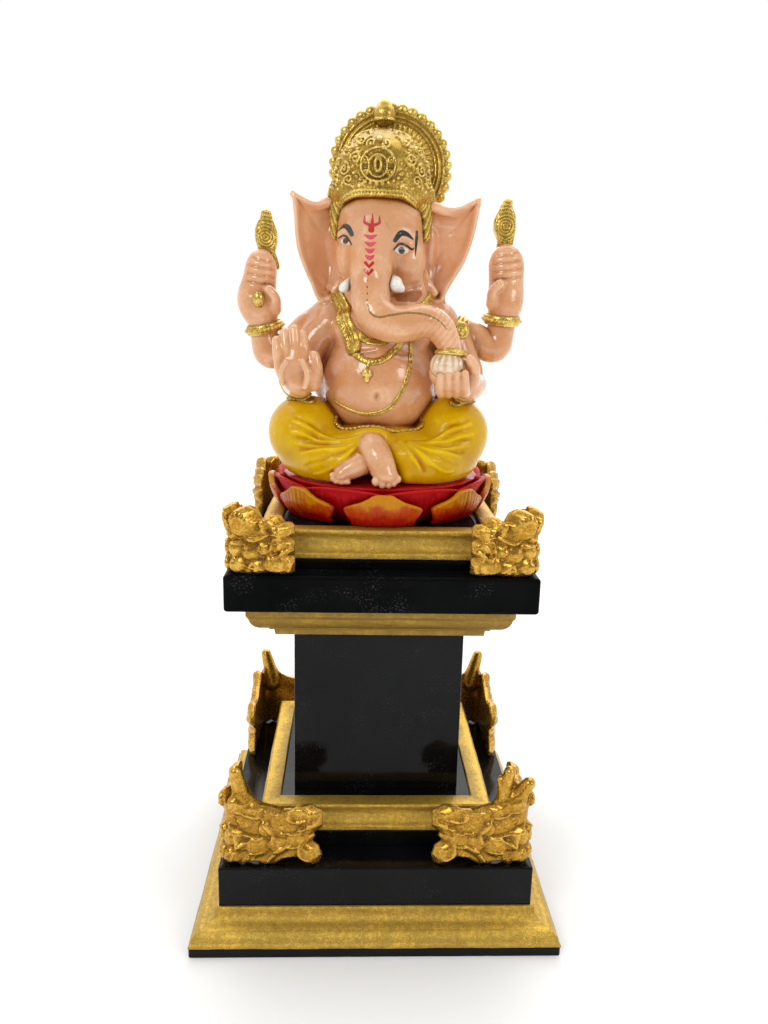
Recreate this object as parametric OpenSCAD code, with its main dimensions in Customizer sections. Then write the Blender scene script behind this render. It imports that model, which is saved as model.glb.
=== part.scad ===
// Seated Ganesha idol on a red lotus seat and a black and gold tiered pedestal.
// Origin: centre of the pedestal's underside. +Z is up and the idol faces -Y.
// Left and right are the viewer's, so left is -X.

/* [Pedestal] */
// Width of the square foot of the pedestal
base_w = 200; // [180:1:220]
// Thickness of the board under the foot
base_board_h = 4.8; // [3:0.1:8]
// Height of the gold moulding round the foot
base_moulding_h = 15.7; // [12:0.1:20]
// Width of the lower black block
lower_block_w = 171.2; // [160:0.2:175]
// Height of the lower black block above its moulding
lower_block_h = 23.1; // [18:0.1:30]
// Width of the black risers that carry the gold frames
riser_w = 132.4; // [126:0.2:138]
// Height of the lower riser's black face below its gold frame
lower_riser_h = 9.9; // [7:0.1:14]
// Height of the gold frame mouldings
frame_h = 15; // [14:0.1:18]
// Width of the black column
column_w = 94.1; // [80:0.1:100]
// Height of the column that shows between the lower frame and the cornice
column_h = 97.9; // [80:0.1:130]
// Height of the gold cornice under the upper slab
cornice_h = 21; // [17:0.1:25]
// Width of the upper black slab
slab_w = 160.8; // [150:0.2:170]
// Thickness of the upper black slab
slab_h = 19.4; // [15:0.1:24]
// Height of the upper riser's black face below its gold frame
upper_riser_h = 5.3; // [4:0.1:9]

/* [Corner ornaments] */
// Height of the lower corner leaves, to their tips
lower_leaf_h = 60; // [50:1:66]
// Length of each wing of the lower corner leaves
lower_leaf_w = 53; // [44:1:56]
// Height of the upper corner leaves
upper_leaf_h = 35.5; // [28:0.5:42]
// Length of each wing of the upper corner leaves
upper_leaf_w = 35.5; // [30:0.5:40]
// Thickness of the corner leaves
leaf_t = 6.5; // [5:0.1:9]

/* [Idol] */
// Radius of the lotus seat at its petal tips
lotus_r = 66; // [58:0.5:70]
// Height of the lotus seat
lotus_h = 20; // [16:0.5:26]
// Height of the idol from the lotus to the top of the halo's knob
idol_h = 203.5; // [180:0.5:225]

/* [Screws] */
// Diameter of the screws in the pedestal
screw_d = 4; // [3:0.1:5]
// Length of the screws between the column and its neighbours
column_screw_l = 50; // [40:1:60]
// Length of the screws through the foot board
base_screw_l = 20; // [15:1:30]

/* [Hidden] */
$fn = 96;
round_fn = 12;
base_top = base_board_h + base_moulding_h;
block_top = base_top + lower_block_h;
lower_frame_z = block_top + lower_riser_h;
lower_frame_top = lower_frame_z + frame_h;
cornice_z = lower_frame_top + column_h;
slab_z = cornice_z + cornice_h;
slab_top = slab_z + slab_h;
upper_frame_z = slab_top + upper_riser_h;
upper_frame_top = upper_frame_z + frame_h;
seat_z = upper_frame_top + lotus_h;
core_w = riser_w - 24;
edge_r = 1.6;
idol_k = idol_h / 203.5;
screw_at = 26;
base_screw_at = 60;
screw_recess = 0.4;
leaf_lower_at = lower_block_w / 2 - 1.4;
leaf_upper_at = slab_w / 2 - 1.4;
// Shift in height of each raised arm, with its bangle and emblem
left_rise = -2;
right_rise = 4;

// ---- Outlines and small helpers ----

function arc(cx, cy, r, a0, a1, n = 8) =
    [for (i = [0:n]) [cx + r * cos(a0 + (a1 - a0) * i / n), cy + r * sin(a0 + (a1 - a0) * i / n)]];

module rounded_board(w, z0, z1, r = edge_r) {
    translate([0, 0, z0])
        linear_extrude(z1 - z0) {
            square([w - 2 * r, w], center = true);
            square([w, w - 2 * r], center = true);
            for (x = [-1, 1], y = [-1, 1])
                translate([x * (w / 2 - r), y * (w / 2 - r)])
                    circle(r);
        }
}

// A moulding strip on the -Y side, turned by quarter turns; its outline is [distance out, height]
module mitred_strip(outline, quarter) {
    reach = base_w;
    rotate(90 * quarter)
        intersection() {
            translate([-reach / 2, 0, 0])
                rotate([90, 0, 90])
                    linear_extrude(reach)
                        polygon([for (p = outline) [-p[0], p[1]]]);
            linear_extrude(reach * 3)
                polygon([[0, 0], [-reach, -reach], [reach, -reach]]);
        }
}

function base_outline() =
    let (o = base_w / 2, i = lower_block_w / 2, z = base_board_h, h = base_moulding_h)
    concat(
        [[i, z], [o, z], [o, z + 1.6], [o - 1, z + 2.4]],
        arc(o - 6, z + 2.4, 5, 10, 80, 6),
        arc(i + 6.2, z + h - 2.4, 4.5, 265, 185, 6),
        [[i + 1.5, z + h - 1.6], [i + 1.5, z + h], [i, z + h]]
    );

function frame_outline(z) =
    let (o = riser_w / 2, i = core_w / 2)
    concat(
        [[i, z], [o, z], [o, z + 2.7], [o - 1.1, z + 3.3]],
        arc(o + 1.4, z + 8.2, 5.6, 235, 128, 8),
        arc(o - 2.8, z + frame_h - 1.2, 1.2, 0, 90, 4),
        [[i + 3, z + frame_h], [i + 2, z + frame_h - 1], [i, z + frame_h - 1]]
    );

function cornice_outline() =
    let (i = column_w / 2, z = cornice_z, h = cornice_h)
    concat(
        [[i, z], [i + 9.4, z], [i + 10, z + 3.4], [i + 12.4, z + 4.2], [i + 12.4, z + 5.6]],
        arc(i + 13, z + 15.2, 9.4, 270, 350, 8),
        [[i + 23.5, z + 15.4], [i + 23.5, z + h], [i, z + h]]
    );

module ball(p, r) {
    translate(p) sphere(r, $fn = round_fn);
}

// An ellipsoid with half-widths r about p
module blob(p, r) {
    hull() translate(p) scale(r) sphere(1, $fn = 18);
}

// A chain of tapered round stretches through points given as [x, y, z, radius]
module limb(points) {
    for (i = [0:len(points) - 2])
        hull() {
            ball([for (k = [0:2]) points[i][k]], points[i][3]);
            ball([for (k = [0:2]) points[i + 1][k]], points[i + 1][3]);
        }
}

// A thin rounded sheet that fans out from a centre to the points of its edge
module fan(centre, edge, r) {
    for (i = [0:len(edge) - 2])
        hull() {
            translate(centre) sphere(r, $fn = 6);
            translate(edge[i]) sphere(r, $fn = 6);
            translate(edge[i + 1]) sphere(r, $fn = 6);
        }
}

// Places idol parts: their own origin is on the lotus seat
module idol() {
    translate([0, 0, seat_z]) scale(idol_k) children();
}

module above_seat() {
    intersection() {
        children();
        translate([-100, -100, 0]) cube([200, 200, 300]);
    }
}

// ---- Pedestal ----

module screw(l) {
    cylinder(h = 3, r1 = screw_d, r2 = screw_d / 2);
    translate([0, 0, 3]) cylinder(h = l - 3, r = screw_d / 2);
}

module four(at) {
    for (x = [-at, at], y = [-at, at]) translate([x, y, 0]) children();
}

module column_screw_set() {
    four(screw_at) {
        translate([0, 0, block_top]) screw(column_screw_l);
        translate([0, 0, slab_top]) mirror([0, 0, 1]) screw(column_screw_l);
    }
}

module base_screw_set() {
    four(base_screw_at) translate([0, 0, screw_recess]) screw(base_screw_l);
}

module base_board() {
    color("black") difference() {
        rounded_board(base_w, 0, base_board_h);
        base_screw_set();
        four(base_screw_at) cylinder(h = screw_recess, r = screw_d);
    }
}

module lower_block() {
    color("black") difference() {
        rounded_board(lower_block_w, base_board_h, block_top);
        base_screw_set();
    }
}

// A black step with a narrower core that fills its gold frame
module riser(z0, z_step, z_top) {
    rounded_board(riser_w, z0, z_step);
    rounded_board(core_w, z_step, z_top, 0.2);
}

module lower_riser() {
    color("black") difference() {
        riser(block_top, lower_frame_z, lower_frame_top - 1);
        column_screw_set();
    }
}

module column() {
    color("black") difference() {
        rounded_board(column_w, lower_frame_top - 1, slab_z, 1);
        column_screw_set();
    }
}

module upper_slab() {
    color("black") difference() {
        rounded_board(slab_w, slab_z, slab_top);
        column_screw_set();
    }
}

module upper_riser() {
    color("black") riser(slab_top, upper_frame_z, upper_frame_top);
}

module base_moulding(quarter) {
    color("gold") mitred_strip(base_outline(), quarter);
}

module frame_moulding(z, quarter) {
    color("gold") mitred_strip(frame_outline(z), quarter);
}

module cornice(quarter) {
    color("gold") mitred_strip(cornice_outline(), quarter);
}

module column_screws() {
    color("silver") column_screw_set();
}

module base_screws() {
    color("silver") base_screw_set();
}

// One wing of a corner leaf as an outline: x runs along the wing from the corner, y is height
function lower_wing() =
    let (w = lower_leaf_w, h = lower_leaf_h)
    [[0, 0], [0.3 * w, 0.5], [0.5 * w, 2], [0.75 * w, 1], [w, 2.5], [0.97 * w, 0.18 * h],
     [0.86 * w, 0.3 * h], [0.96 * w, 0.45 * h], [0.93 * w, 0.6 * h], [0.7 * w, 0.66 * h],
     [0.45 * w, 0.7 * h], [0.28 * w, 0.78 * h], [0.16 * w, h], [0, 0.98 * h]];

function upper_wing() =
    let (w = upper_leaf_w, h = upper_leaf_h)
    [[0, 0], [0.85 * w, 0], [0.98 * w, 0.15 * h], [0.93 * w, 0.4 * h], [w, 0.6 * h],
     [0.93 * w, 0.82 * h], [0.7 * w, 0.84 * h], [0.5 * w, 0.88 * h], [0.38 * w, h], [0, 0.96 * h]];

// Two wings that meet at a corner; the corner is at -X -Y
module corner_leaf(wing, at, z) {
    for (flip = [0, 1])
        mirror([flip, -flip, 0])
            translate([-at, -at + leaf_t, z])
                rotate([90, 0, 0])
                    linear_extrude(leaf_t) polygon(wing);
}

module lower_leaf(quarter) {
    color("gold") rotate(90 * quarter) corner_leaf(lower_wing(), leaf_lower_at, block_top);
}

module upper_leaf(quarter) {
    color("gold") rotate(90 * quarter) corner_leaf(upper_wing(), leaf_upper_at, slab_top);
}

// ---- Lotus seat: these forms have their origin on the pedestal's top ----

module on_pedestal() {
    translate([0, 0, upper_frame_top]) children();
}

module lotus_core_form() {
    cylinder(h = lotus_h, r1 = lotus_r - 20, r2 = lotus_r - 9);
}

// A boat-shaped petal that leans outwards at an angle round the seat
module petal(angle, half_width, tip_z, tip_r) {
    rotate(angle)
        fan([0, -(lotus_r - 19), 3],
            [[-0.6 * half_width, -(lotus_r - 14), 2.4], [-half_width, -(tip_r - 5), 0.56 * tip_z],
             [0, -tip_r, tip_z], [half_width, -(tip_r - 5), 0.56 * tip_z],
             [0.6 * half_width, -(lotus_r - 14), 2.4]], 2);
}

module outer_petal_forms() {
    for (i = [0:7]) petal(45 * i, 19, 17, lotus_r - 4);
}

module inner_petal_forms() {
    for (i = [0:7]) petal(45 * i + 22.5, 18, lotus_h - 2, lotus_r - 2);
}

module lotus_core() {
    color("firebrick") on_pedestal() lotus_core_form();
}

module lotus_outer_petals() {
    color("darkorange") on_pedestal()
        difference() {
            outer_petal_forms();
            lotus_core_form();
            translate([0, 0, -5]) cylinder(h = 5, r = 100);
        }
}

module lotus_inner_petals() {
    color("red") on_pedestal()
        difference() {
            inner_petal_forms();
            outer_petal_forms();
            lotus_core_form();
            translate([0, 0, -5]) cylinder(h = 5, r = 100);
        }
}

// ---- Idol forms: their origin is on the lotus seat ----

module head_form() {
    blob([-3, -2, 133], [23.5, 19, 25]);
    blob([-17, -10, 118], [10, 11, 14]);
    blob([11, -11, 117], [11, 11, 14]);
    blob([-3, -4, 107], [15, 12, 11]);
    blob([13, -8, 103], [9, 9, 8]);
}

module trunk_form() {
    limb([[-6.5, -14, 134, 12.5], [-8, -26, 114, 11.4], [-8, -37, 95.5, 10.4],
          [-5.5, -41, 88.5, 10.1], [1.5, -43, 84.3, 9.6], [9, -43.5, 84, 9.2],
          [17, -43.5, 85.6, 8.8], [27, -42, 83.5, 7.9], [34.5, -41, 75, 6.6]]);
}

belly_at = [-2, -9, 51.5];
belly_r = [31.5, 27, 30.5];

// A point on the front of the belly, with a bar's radius after it
function on_belly(x, z, r) =
    [x, belly_at[1] - belly_r[1] * sqrt(1 - pow((x - belly_at[0]) / belly_r[0], 2)
        - pow((z - belly_at[2]) / belly_r[2], 2)) - 0.2, z, r];

module torso_form() {
    blob(belly_at, belly_r);
    blob([-1, 4, 56], [40, 14, 33]);
    blob([-1, -1, 78], [29, 17.5, 20]);
    limb([[-29, 2, 88, 10.2], [0, 2, 92, 12], [30, 2, 88, 10.2]]);
    blob([-2, 0, 102], [14, 12, 13]);
}

module rear_arm_form(side, rise) {
    limb([[side * 31, 4, 86, 10.5], [side * 50, 4, 73 + rise, 9.5], [side * 64, 3, 67 + rise, 8.8],
          [side * 67, 3, 79 + rise, 8.2], [side * 68, 2, 92 + rise, 9]]);
    blob([side * 69.5, 1.5, 97.5 + rise], [11, 8.4, 14]);
    blob([side * 68, 1.2, 112 + rise], [9.5, 7.6, 12.5]);
}

module left_front_arm_form() {
    limb([[-30, -4, 82, 10.5], [-44, -6, 63, 9.5], [-48.5, -9.5, 54, 9.2], [-47, -25, 48, 8.4],
          [-45, -31, 50, 8.8]]);
    blob([-46, -34, 63], [12.2, 6.6, 19.5]);
}

module right_front_arm_form() {
    limb([[31, -4, 84, 10.5], [44, -7, 65.5, 9.4], [47.5, -11, 57, 9.2], [46, -26, 52.5, 8.8],
          [42, -33.5, 56, 10], [36.5, -36, 59, 11.5]]);
}

module dhoti_form() {
    blob([-43, -13, 23.5], [20.4, 24, 20.6]);
    blob([39.4, -13, 24], [20.2, 24, 21.4]);
    blob([-22, -27, 13.5], [26, 21, 13.5]);
    blob([20, -27, 13.5], [25, 21.5, 13.8]);
    blob([0, 9, 18], [42, 26, 22]);
    limb([[-47, -16, 8, 8], [-40, -29, 7, 7], [-27, -39, 6, 6.5]]);
    limb([[46, -14, 8, 8], [40, -28, 7, 7.4], [27, -39, 6, 7], [14, -42, 6, 6]]);
    blob([-2, -20, 16], [26, 18, 14.5]);
    blob([-8, -36, 24], [12, 8, 6]);
}

module front_foot_form() {
    limb([[-9, -34, 20, 7], [-6, -42.5, 20, 7.6], [-3.2, -46.8, 16, 7.7], [0.5, -50.5, 8.8, 6.7],
          [3, -53, 5, 4.5]]);
}

module rear_foot_form() {
    limb([[-6, -42, 13.5, 6.4], [-15, -45.5, 10, 6.4], [-23, -47, 6.4, 5]]);
}

module left_ear_form() {
    fan([-32, 1, 124],
        [[-24.5, -2, 146], [-36, -2, 145.5], [-49, -1, 150.5], [-47.5, 2, 138], [-46, 2, 124],
         [-41, 1, 110], [-36, 0, 98], [-30, -2, 97], [-22, -4, 108]], 2.6);
}

module right_ear_form() {
    fan([30, 1, 124],
        [[21, -2, 146], [33, -2, 144], [48.5, -1, 149.5], [47.5, 2, 138], [44, 2, 124],
         [37.5, 1, 110], [32, 0, 98], [27, -2, 97], [19, -4, 108]], 2.6);
}

module crown_form() {
    blob([-3, -3, 155], [28, 23, 17]);
    blob([-2, -3, 165], [24, 20, 19]);
}

module hand_emblem_form(side, rise) {
    limb([[side * 66.5, 2, 92 + rise, 3.2], [side * 65, 3, 122 + rise, 3.6]]);
    blob([side * 65.5, 3.2, 133 + rise], [6.4, 3.4, 17]);
}

module sweet_form() {
    blob([32.4, -41.8, 64], [9.2, 8.2, 8.4]);
}

module halo_plate(grow = 0) {
    lobes = 34;
    r = 33.4 + grow;
    translate([2.6, 20.5 + grow, 168])
        rotate([90, 0, 0])
            linear_extrude(5 + 2 * grow)
                polygon([for (i = [0:lobes * 6 - 1])
                    let (a = 360 * i / (lobes * 6))
                    (r + 1.6 * abs(sin(a * lobes / 2))) * [cos(a), sin(a)]]);
}

module halo_knob() {
    translate([-1.4, 15, 197])
        rotate_extrude()
            polygon([[0, -4.6], [5.4, -3.4], [6.6, 0], [5, 3.2], [2.6, 5.4], [0, 6.5]]);
}

// ---- Idol pieces ----

module halo() {
    color("gold") idol() {
        halo_plate();
        halo_knob();
    }
}

module crown() {
    color("gold") idol()
        difference() {
            union() {
                crown_form();
                // Side bands that hang to the ears
                limb([[-27, -6, 152, 3.4], [-26.5, -8, 138, 2.6], [-26, -8, 128, 1.6]]);
                limb([[21.5, -6, 152, 3.4], [21, -8, 138, 2.6], [20.5, -8, 128, 1.6]]);
            }
            head_form();
            translate([-60, 15.5, 100]) cube([120, 30, 120]);
        }
}

module head() {
    color("peachpuff") idol()
        difference() {
            head_form();
            trunk_form();
        }
}

module trunk() {
    color("peachpuff") idol() trunk_form();
}

module ear() {
    color("peachpuff") idol()
        difference() {
            children();
            head_form();
            crown_form();
            translate([-60, 15.5, 100]) cube([120, 30, 120]);
        }
}

module left_ear() {
    ear() left_ear_form();
}

module right_ear() {
    ear() right_ear_form();
}

module tusks() {
    color("white") idol()
        difference() {
            union() {
                limb([[-18, -24, 106, 4.2], [-22, -32, 103, 3.8], [-24.5, -35, 101.5, 2.4]]);
                limb([[4, -26, 106, 4.2], [5, -36, 103.5, 3.8], [5.5, -38, 102.5, 2.4]]);
            }
            head_form();
            trunk_form();
        }
}

module torso() {
    color("peachpuff") idol()
        difference() {
            torso_form();
            head_form();
            trunk_form();
            dhoti_form();
        }
}

module rear_arm(side, rise) {
    color("peachpuff") idol()
        difference() {
            rear_arm_form(side, rise);
            torso_form();
            head_form();
            hand_emblem_form(side, rise);
            ring_forms();
        }
}

module left_rear_arm() {
    rear_arm(-1, left_rise);
}

module right_rear_arm() {
    rear_arm(1, right_rise);
}

module left_front_arm() {
    color("peachpuff") idol()
        difference() {
            left_front_arm_form();
            torso_form();
            rear_arm_form(-1, left_rise);
            dhoti_form();
            ring_forms();
        }
}

module right_front_arm() {
    color("peachpuff") idol()
        difference() {
            right_front_arm_form();
            torso_form();
            rear_arm_form(1, right_rise);
            dhoti_form();
            trunk_form();
            sweet_form();
            ring_forms();
        }
}

module left_hand_emblem() {
    color("gold") idol() hand_emblem_form(-1, left_rise);
}

module right_hand_emblem() {
    color("gold") idol() hand_emblem_form(1, right_rise);
}

module sweet() {
    color("wheat") idol()
        difference() {
            sweet_form();
            trunk_form();
        }
}

module dhoti() {
    color("gold") idol()
        above_seat()
            difference() {
                dhoti_form();
                front_foot_form();
                rear_foot_form();
            }
}

module front_foot() {
    color("peachpuff") idol() above_seat() front_foot_form();
}

module rear_foot() {
    color("peachpuff") idol()
        above_seat()
            difference() {
                rear_foot_form();
                front_foot_form();
            }
}

// A round ring about a limb: its centre, the tilt of its axis, ring radius and wire radius
module ring(at, tilt, r, wire) {
    translate(at) rotate(tilt) rotate_extrude($fn = 20) translate([r, 0]) circle(wire, $fn = 13);
}

module bangle_forms() {
    ring([-67, 3, 81 + left_rise], [0, 8, 0], 9.2, 1.8);
    ring([67.5, 3, 84 + right_rise], [0, -8, 0], 9.2, 1.8);
}

module armlet_form() {
    ring([38.5, -3, 78], [0, -50, 0], 11.2, 1.8);
}

module ring_forms() {
    bangle_forms();
    armlet_form();
}

module bangles() {
    color("gold") idol() bangle_forms();
}

module right_armlet() {
    color("gold") idol()
        difference() {
            armlet_form();
            torso_form();
            rear_arm_form(1, right_rise);
            trunk_form();
        }
}

// A necklace half sunk in the chest, with a pendant below it
module necklace() {
    drop = [for (a = [0:20:180]) [-4 - 18 * cos(a), -21 - 10.5 * sin(a), 88 - 22.5 * sin(a), 1.9]];
    color("gold") idol()
        difference() {
            union() {
                limb(drop);
                limb([on_belly(-9, 64, 1.4), on_belly(-9.4, 58.4, 2.6)]);
            }
            torso_form();
            head_form();
            trunk_form();
        }
}

module sacred_thread() {
    route = [[15.5, -15, 88, 1.2], [16.2, -19, 78, 1.2], on_belly(15, 68, 1.2),
             on_belly(12.8, 58, 1.2), on_belly(9.6, 49, 1.2), on_belly(4.6, 40.5, 1.2),
             on_belly(-2.6, 36, 1.2), on_belly(-11.5, 35, 1.2), on_belly(-20, 38, 1.2),
             on_belly(-27, 43, 1.2)];
    color("gold") idol()
        difference() {
            limb(route);
            torso_form();
            dhoti_form();
            trunk_form();
            right_front_arm_form();
        }
}

// A stole over both shoulders and down behind the elbows
module shawl() {
    color("goldenrod") idol()
        difference() {
            union() {
                limb([[-24, -12, 100, 3], [-18, -17, 92, 3.2], [-14, -22, 80, 3]]);
                limb([[-24, -12, 100, 3], [-24, 8, 99, 3.4], [0, 15, 96, 3.4], [24, 8, 99, 3.4]]);
                limb([[-24, 8, 99, 3.4], [-40, 12, 84, 3], [-54, 2, 60, 3], [-56, -4, 50, 2.6],
                      [-46, -8, 40, 2.6]]);
                limb([[24, 8, 99, 3.4], [42, 12, 86, 3], [55, 2, 64, 3], [56, -6, 50, 2.6],
                      [46, -8, 42, 2.6]]);
            }
            torso_form();
            head_form();
            trunk_form();
            dhoti_form();
            rear_arm_form(-1, left_rise);
            rear_arm_form(1, right_rise);
            left_front_arm_form();
            right_front_arm_form();
            ring_forms();
        }
}

module waist_chain() {
    route = [for (x = [-21:5.5:18]) on_belly(x, 31, 1.6)];
    color("gold") idol()
        difference() {
            limb(route);
            torso_form();
            dhoti_form();
        }
}

// ---- The whole idol, one piece at a time ----

base_board();
base_moulding(0);  // base_moulding_front
base_moulding(1);  // base_moulding_right
base_moulding(2);  // base_moulding_back
base_moulding(3);  // base_moulding_left
lower_block();
lower_riser();
frame_moulding(lower_frame_z, 0);  // lower_frame_front
frame_moulding(lower_frame_z, 1);  // lower_frame_right
frame_moulding(lower_frame_z, 2);  // lower_frame_back
frame_moulding(lower_frame_z, 3);  // lower_frame_left
column();
cornice(0);  // cornice_front
cornice(1);  // cornice_right
cornice(2);  // cornice_back
cornice(3);  // cornice_left
upper_slab();
upper_riser();
frame_moulding(upper_frame_z, 0);  // upper_frame_front
frame_moulding(upper_frame_z, 1);  // upper_frame_right
frame_moulding(upper_frame_z, 2);  // upper_frame_back
frame_moulding(upper_frame_z, 3);  // upper_frame_left
lower_leaf(0);  // lower_leaf_front_left
lower_leaf(1);  // lower_leaf_front_right
lower_leaf(2);  // lower_leaf_back_right
lower_leaf(3);  // lower_leaf_back_left
upper_leaf(0);  // upper_leaf_front_left
upper_leaf(1);  // upper_leaf_front_right
upper_leaf(2);  // upper_leaf_back_right
upper_leaf(3);  // upper_leaf_back_left
column_screws();
base_screws();
lotus_core();
lotus_outer_petals();
lotus_inner_petals();
dhoti();
front_foot();
rear_foot();
torso();
head();
trunk();
left_ear();
right_ear();
tusks();
crown();
halo();
left_rear_arm();
right_rear_arm();
left_front_arm();
right_front_arm();
left_hand_emblem();
right_hand_emblem();
bangles();
right_armlet();
necklace();
sacred_thread();
shawl();
waist_chain();
sweet();
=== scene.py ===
# A seated Ganesha idol on a lotus seat and a black and gold tiered pedestal.
# Forms are sculpted as signed distances in millimetres and meshed with OpenVDB.
import math

import bmesh
import bpy
import numpy as np
import openvdb as vdb
from mathutils import Euler, Matrix, Vector


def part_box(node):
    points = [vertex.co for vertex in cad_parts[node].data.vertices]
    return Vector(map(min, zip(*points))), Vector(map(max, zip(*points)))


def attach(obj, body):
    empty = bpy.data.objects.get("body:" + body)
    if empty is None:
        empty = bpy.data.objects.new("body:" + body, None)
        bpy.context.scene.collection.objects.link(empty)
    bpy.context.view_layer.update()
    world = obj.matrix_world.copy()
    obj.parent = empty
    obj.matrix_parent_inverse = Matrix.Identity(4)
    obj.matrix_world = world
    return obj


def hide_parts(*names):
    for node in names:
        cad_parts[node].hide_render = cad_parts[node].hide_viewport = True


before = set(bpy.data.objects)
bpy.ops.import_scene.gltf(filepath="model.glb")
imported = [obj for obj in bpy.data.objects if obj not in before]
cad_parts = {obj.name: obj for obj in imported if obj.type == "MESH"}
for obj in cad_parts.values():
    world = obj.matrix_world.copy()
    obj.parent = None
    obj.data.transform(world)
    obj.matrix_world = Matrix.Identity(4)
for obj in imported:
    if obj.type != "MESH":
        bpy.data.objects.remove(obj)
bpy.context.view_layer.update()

MM = 0.001
FAR = 9.0
rng = np.random.default_rng(11)


def mm_box(node):
    """A CAD node's lowest and highest corners in millimetres."""
    low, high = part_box(node)
    return np.array(low) / MM, np.array(high) / MM


BASE_W = mm_box("base_board")[1][0]
BOARD_TOP = mm_box("base_board")[1][2]
BLOCK_W = mm_box("lower_block")[1][0]
BLOCK_TOP = mm_box("lower_block")[1][2]
RISER_W = mm_box("lower_riser")[1][0]
LOWER_FRAME_Z = mm_box("lower_frame_front")[0][2]
LOWER_FRAME_TOP = mm_box("lower_frame_front")[1][2]
CORE_W = -mm_box("lower_frame_front")[1][1]
COLUMN_W = mm_box("column")[1][0]
CORNICE_Z = mm_box("cornice_front")[0][2]
SLAB_W = mm_box("upper_slab")[1][0]
SLAB_Z, SLAB_TOP = mm_box("upper_slab")[0][2], mm_box("upper_slab")[1][2]
UPPER_FRAME_Z = mm_box("upper_frame_front")[0][2]
UPPER_FRAME_TOP = mm_box("upper_frame_front")[1][2]
SEAT_Z = mm_box("lotus_core")[1][2]
# Shift in height of each raised arm, with its bangle and emblem, as in the CAD model
LEFT_RISE, RIGHT_RISE = -2, 4
QUARTERS = ("front", "right", "back", "left")


# ---------------------------------------------------------------- materials

class Nodes:
    """A short way to write a material's node tree."""

    def __init__(self, name):
        self.material = bpy.data.materials.new(name)
        self.material.use_nodes = True
        self.tree = self.material.node_tree
        self.shader = self.tree.nodes["Principled BSDF"]
        self.place = self.add("ShaderNodeTexCoord").outputs["Object"]

    def add(self, kind, inputs=(), **settings):
        node = self.tree.nodes.new(kind)
        for key, value in settings.items():
            setattr(node, key, value)
        for key, value in dict(inputs).items():
            self.put(node.inputs[key], value)
        return node

    def put(self, socket, value):
        if isinstance(value, bpy.types.NodeSocket):
            self.tree.links.new(value, socket)
        else:
            socket.default_value = value

    def noise(self, size_mm, detail=3.0, stretch=(1, 1, 1), rough=0.5):
        """Noise whose blobs are about size_mm across, as a 0 to 1 factor."""
        mapping = self.add("ShaderNodeMapping", {"Vector": self.place, "Scale": stretch})
        node = self.add("ShaderNodeTexNoise", {"Vector": mapping.outputs["Vector"],
                                               "Scale": 1 / (size_mm * MM), "Detail": detail,
                                               "Roughness": rough})
        return node.outputs["Fac"]

    def ramp(self, factor, stops, smooth=True):
        """Colours by position: stops is a list of (position, colour)."""
        node = self.add("ShaderNodeValToRGB", {"Fac": factor})
        band = node.color_ramp
        band.interpolation = "EASE" if smooth else "LINEAR"
        while len(band.elements) < len(stops):
            band.elements.new(0.5)
        for element, (position, colour) in zip(band.elements, stops):
            element.position = position
            element.color = (*colour, 1) if len(colour) == 3 else colour
        return node.outputs["Color"]

    def span(self, factor, low, high, from_low=0.0, from_high=1.0):
        node = self.add("ShaderNodeMapRange", {"Value": factor, "From Min": from_low,
                                               "From Max": from_high, "To Min": low,
                                               "To Max": high})
        return node.outputs["Result"]

    def math(self, operation, a, b=0.0):
        return self.add("ShaderNodeMath", {0: a, 1: b}, operation=operation).outputs[0]

    def mix(self, factor, a, b, blend="MIX"):
        node = self.add("ShaderNodeMix", data_type="RGBA", blend_type=blend)
        colours = [s for s in node.inputs if s.type == "RGBA"]
        self.put(node.inputs["Factor"], factor)
        for socket, value in zip(colours, (a, b)):
            if not isinstance(value, bpy.types.NodeSocket):
                value = (*value, 1) if len(value) == 3 else value
            self.put(socket, value)
        return [s for s in node.outputs if s.type == "RGBA"][0]

    def attribute(self, name):
        return self.add("ShaderNodeAttribute", attribute_name=name).outputs["Fac"]

    def bump(self, height, strength, distance_mm, under=None):
        inputs = {"Height": height, "Strength": strength, "Distance": distance_mm * MM}
        if under is not None:
            inputs["Normal"] = under
        return self.add("ShaderNodeBump", inputs).outputs["Normal"]

    def finish(self, **sockets):
        for key, value in sockets.items():
            socket = self.shader.inputs[key.replace("_", " ").title()
                                        if key not in SOCKETS else SOCKETS[key]]
            if socket.type == "RGBA" and not isinstance(value, bpy.types.NodeSocket):
                value = (*value, 1)
            self.put(socket, value)
        return self.material


SOCKETS = {"ior": "IOR", "base_color": "Base Color", "coat_weight": "Coat Weight",
           "coat_roughness": "Coat Roughness", "specular": "Specular IOR Level",
           "subsurface": "Subsurface Weight", "subsurface_radius": "Subsurface Radius",
           "subsurface_scale": "Subsurface Scale"}


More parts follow.
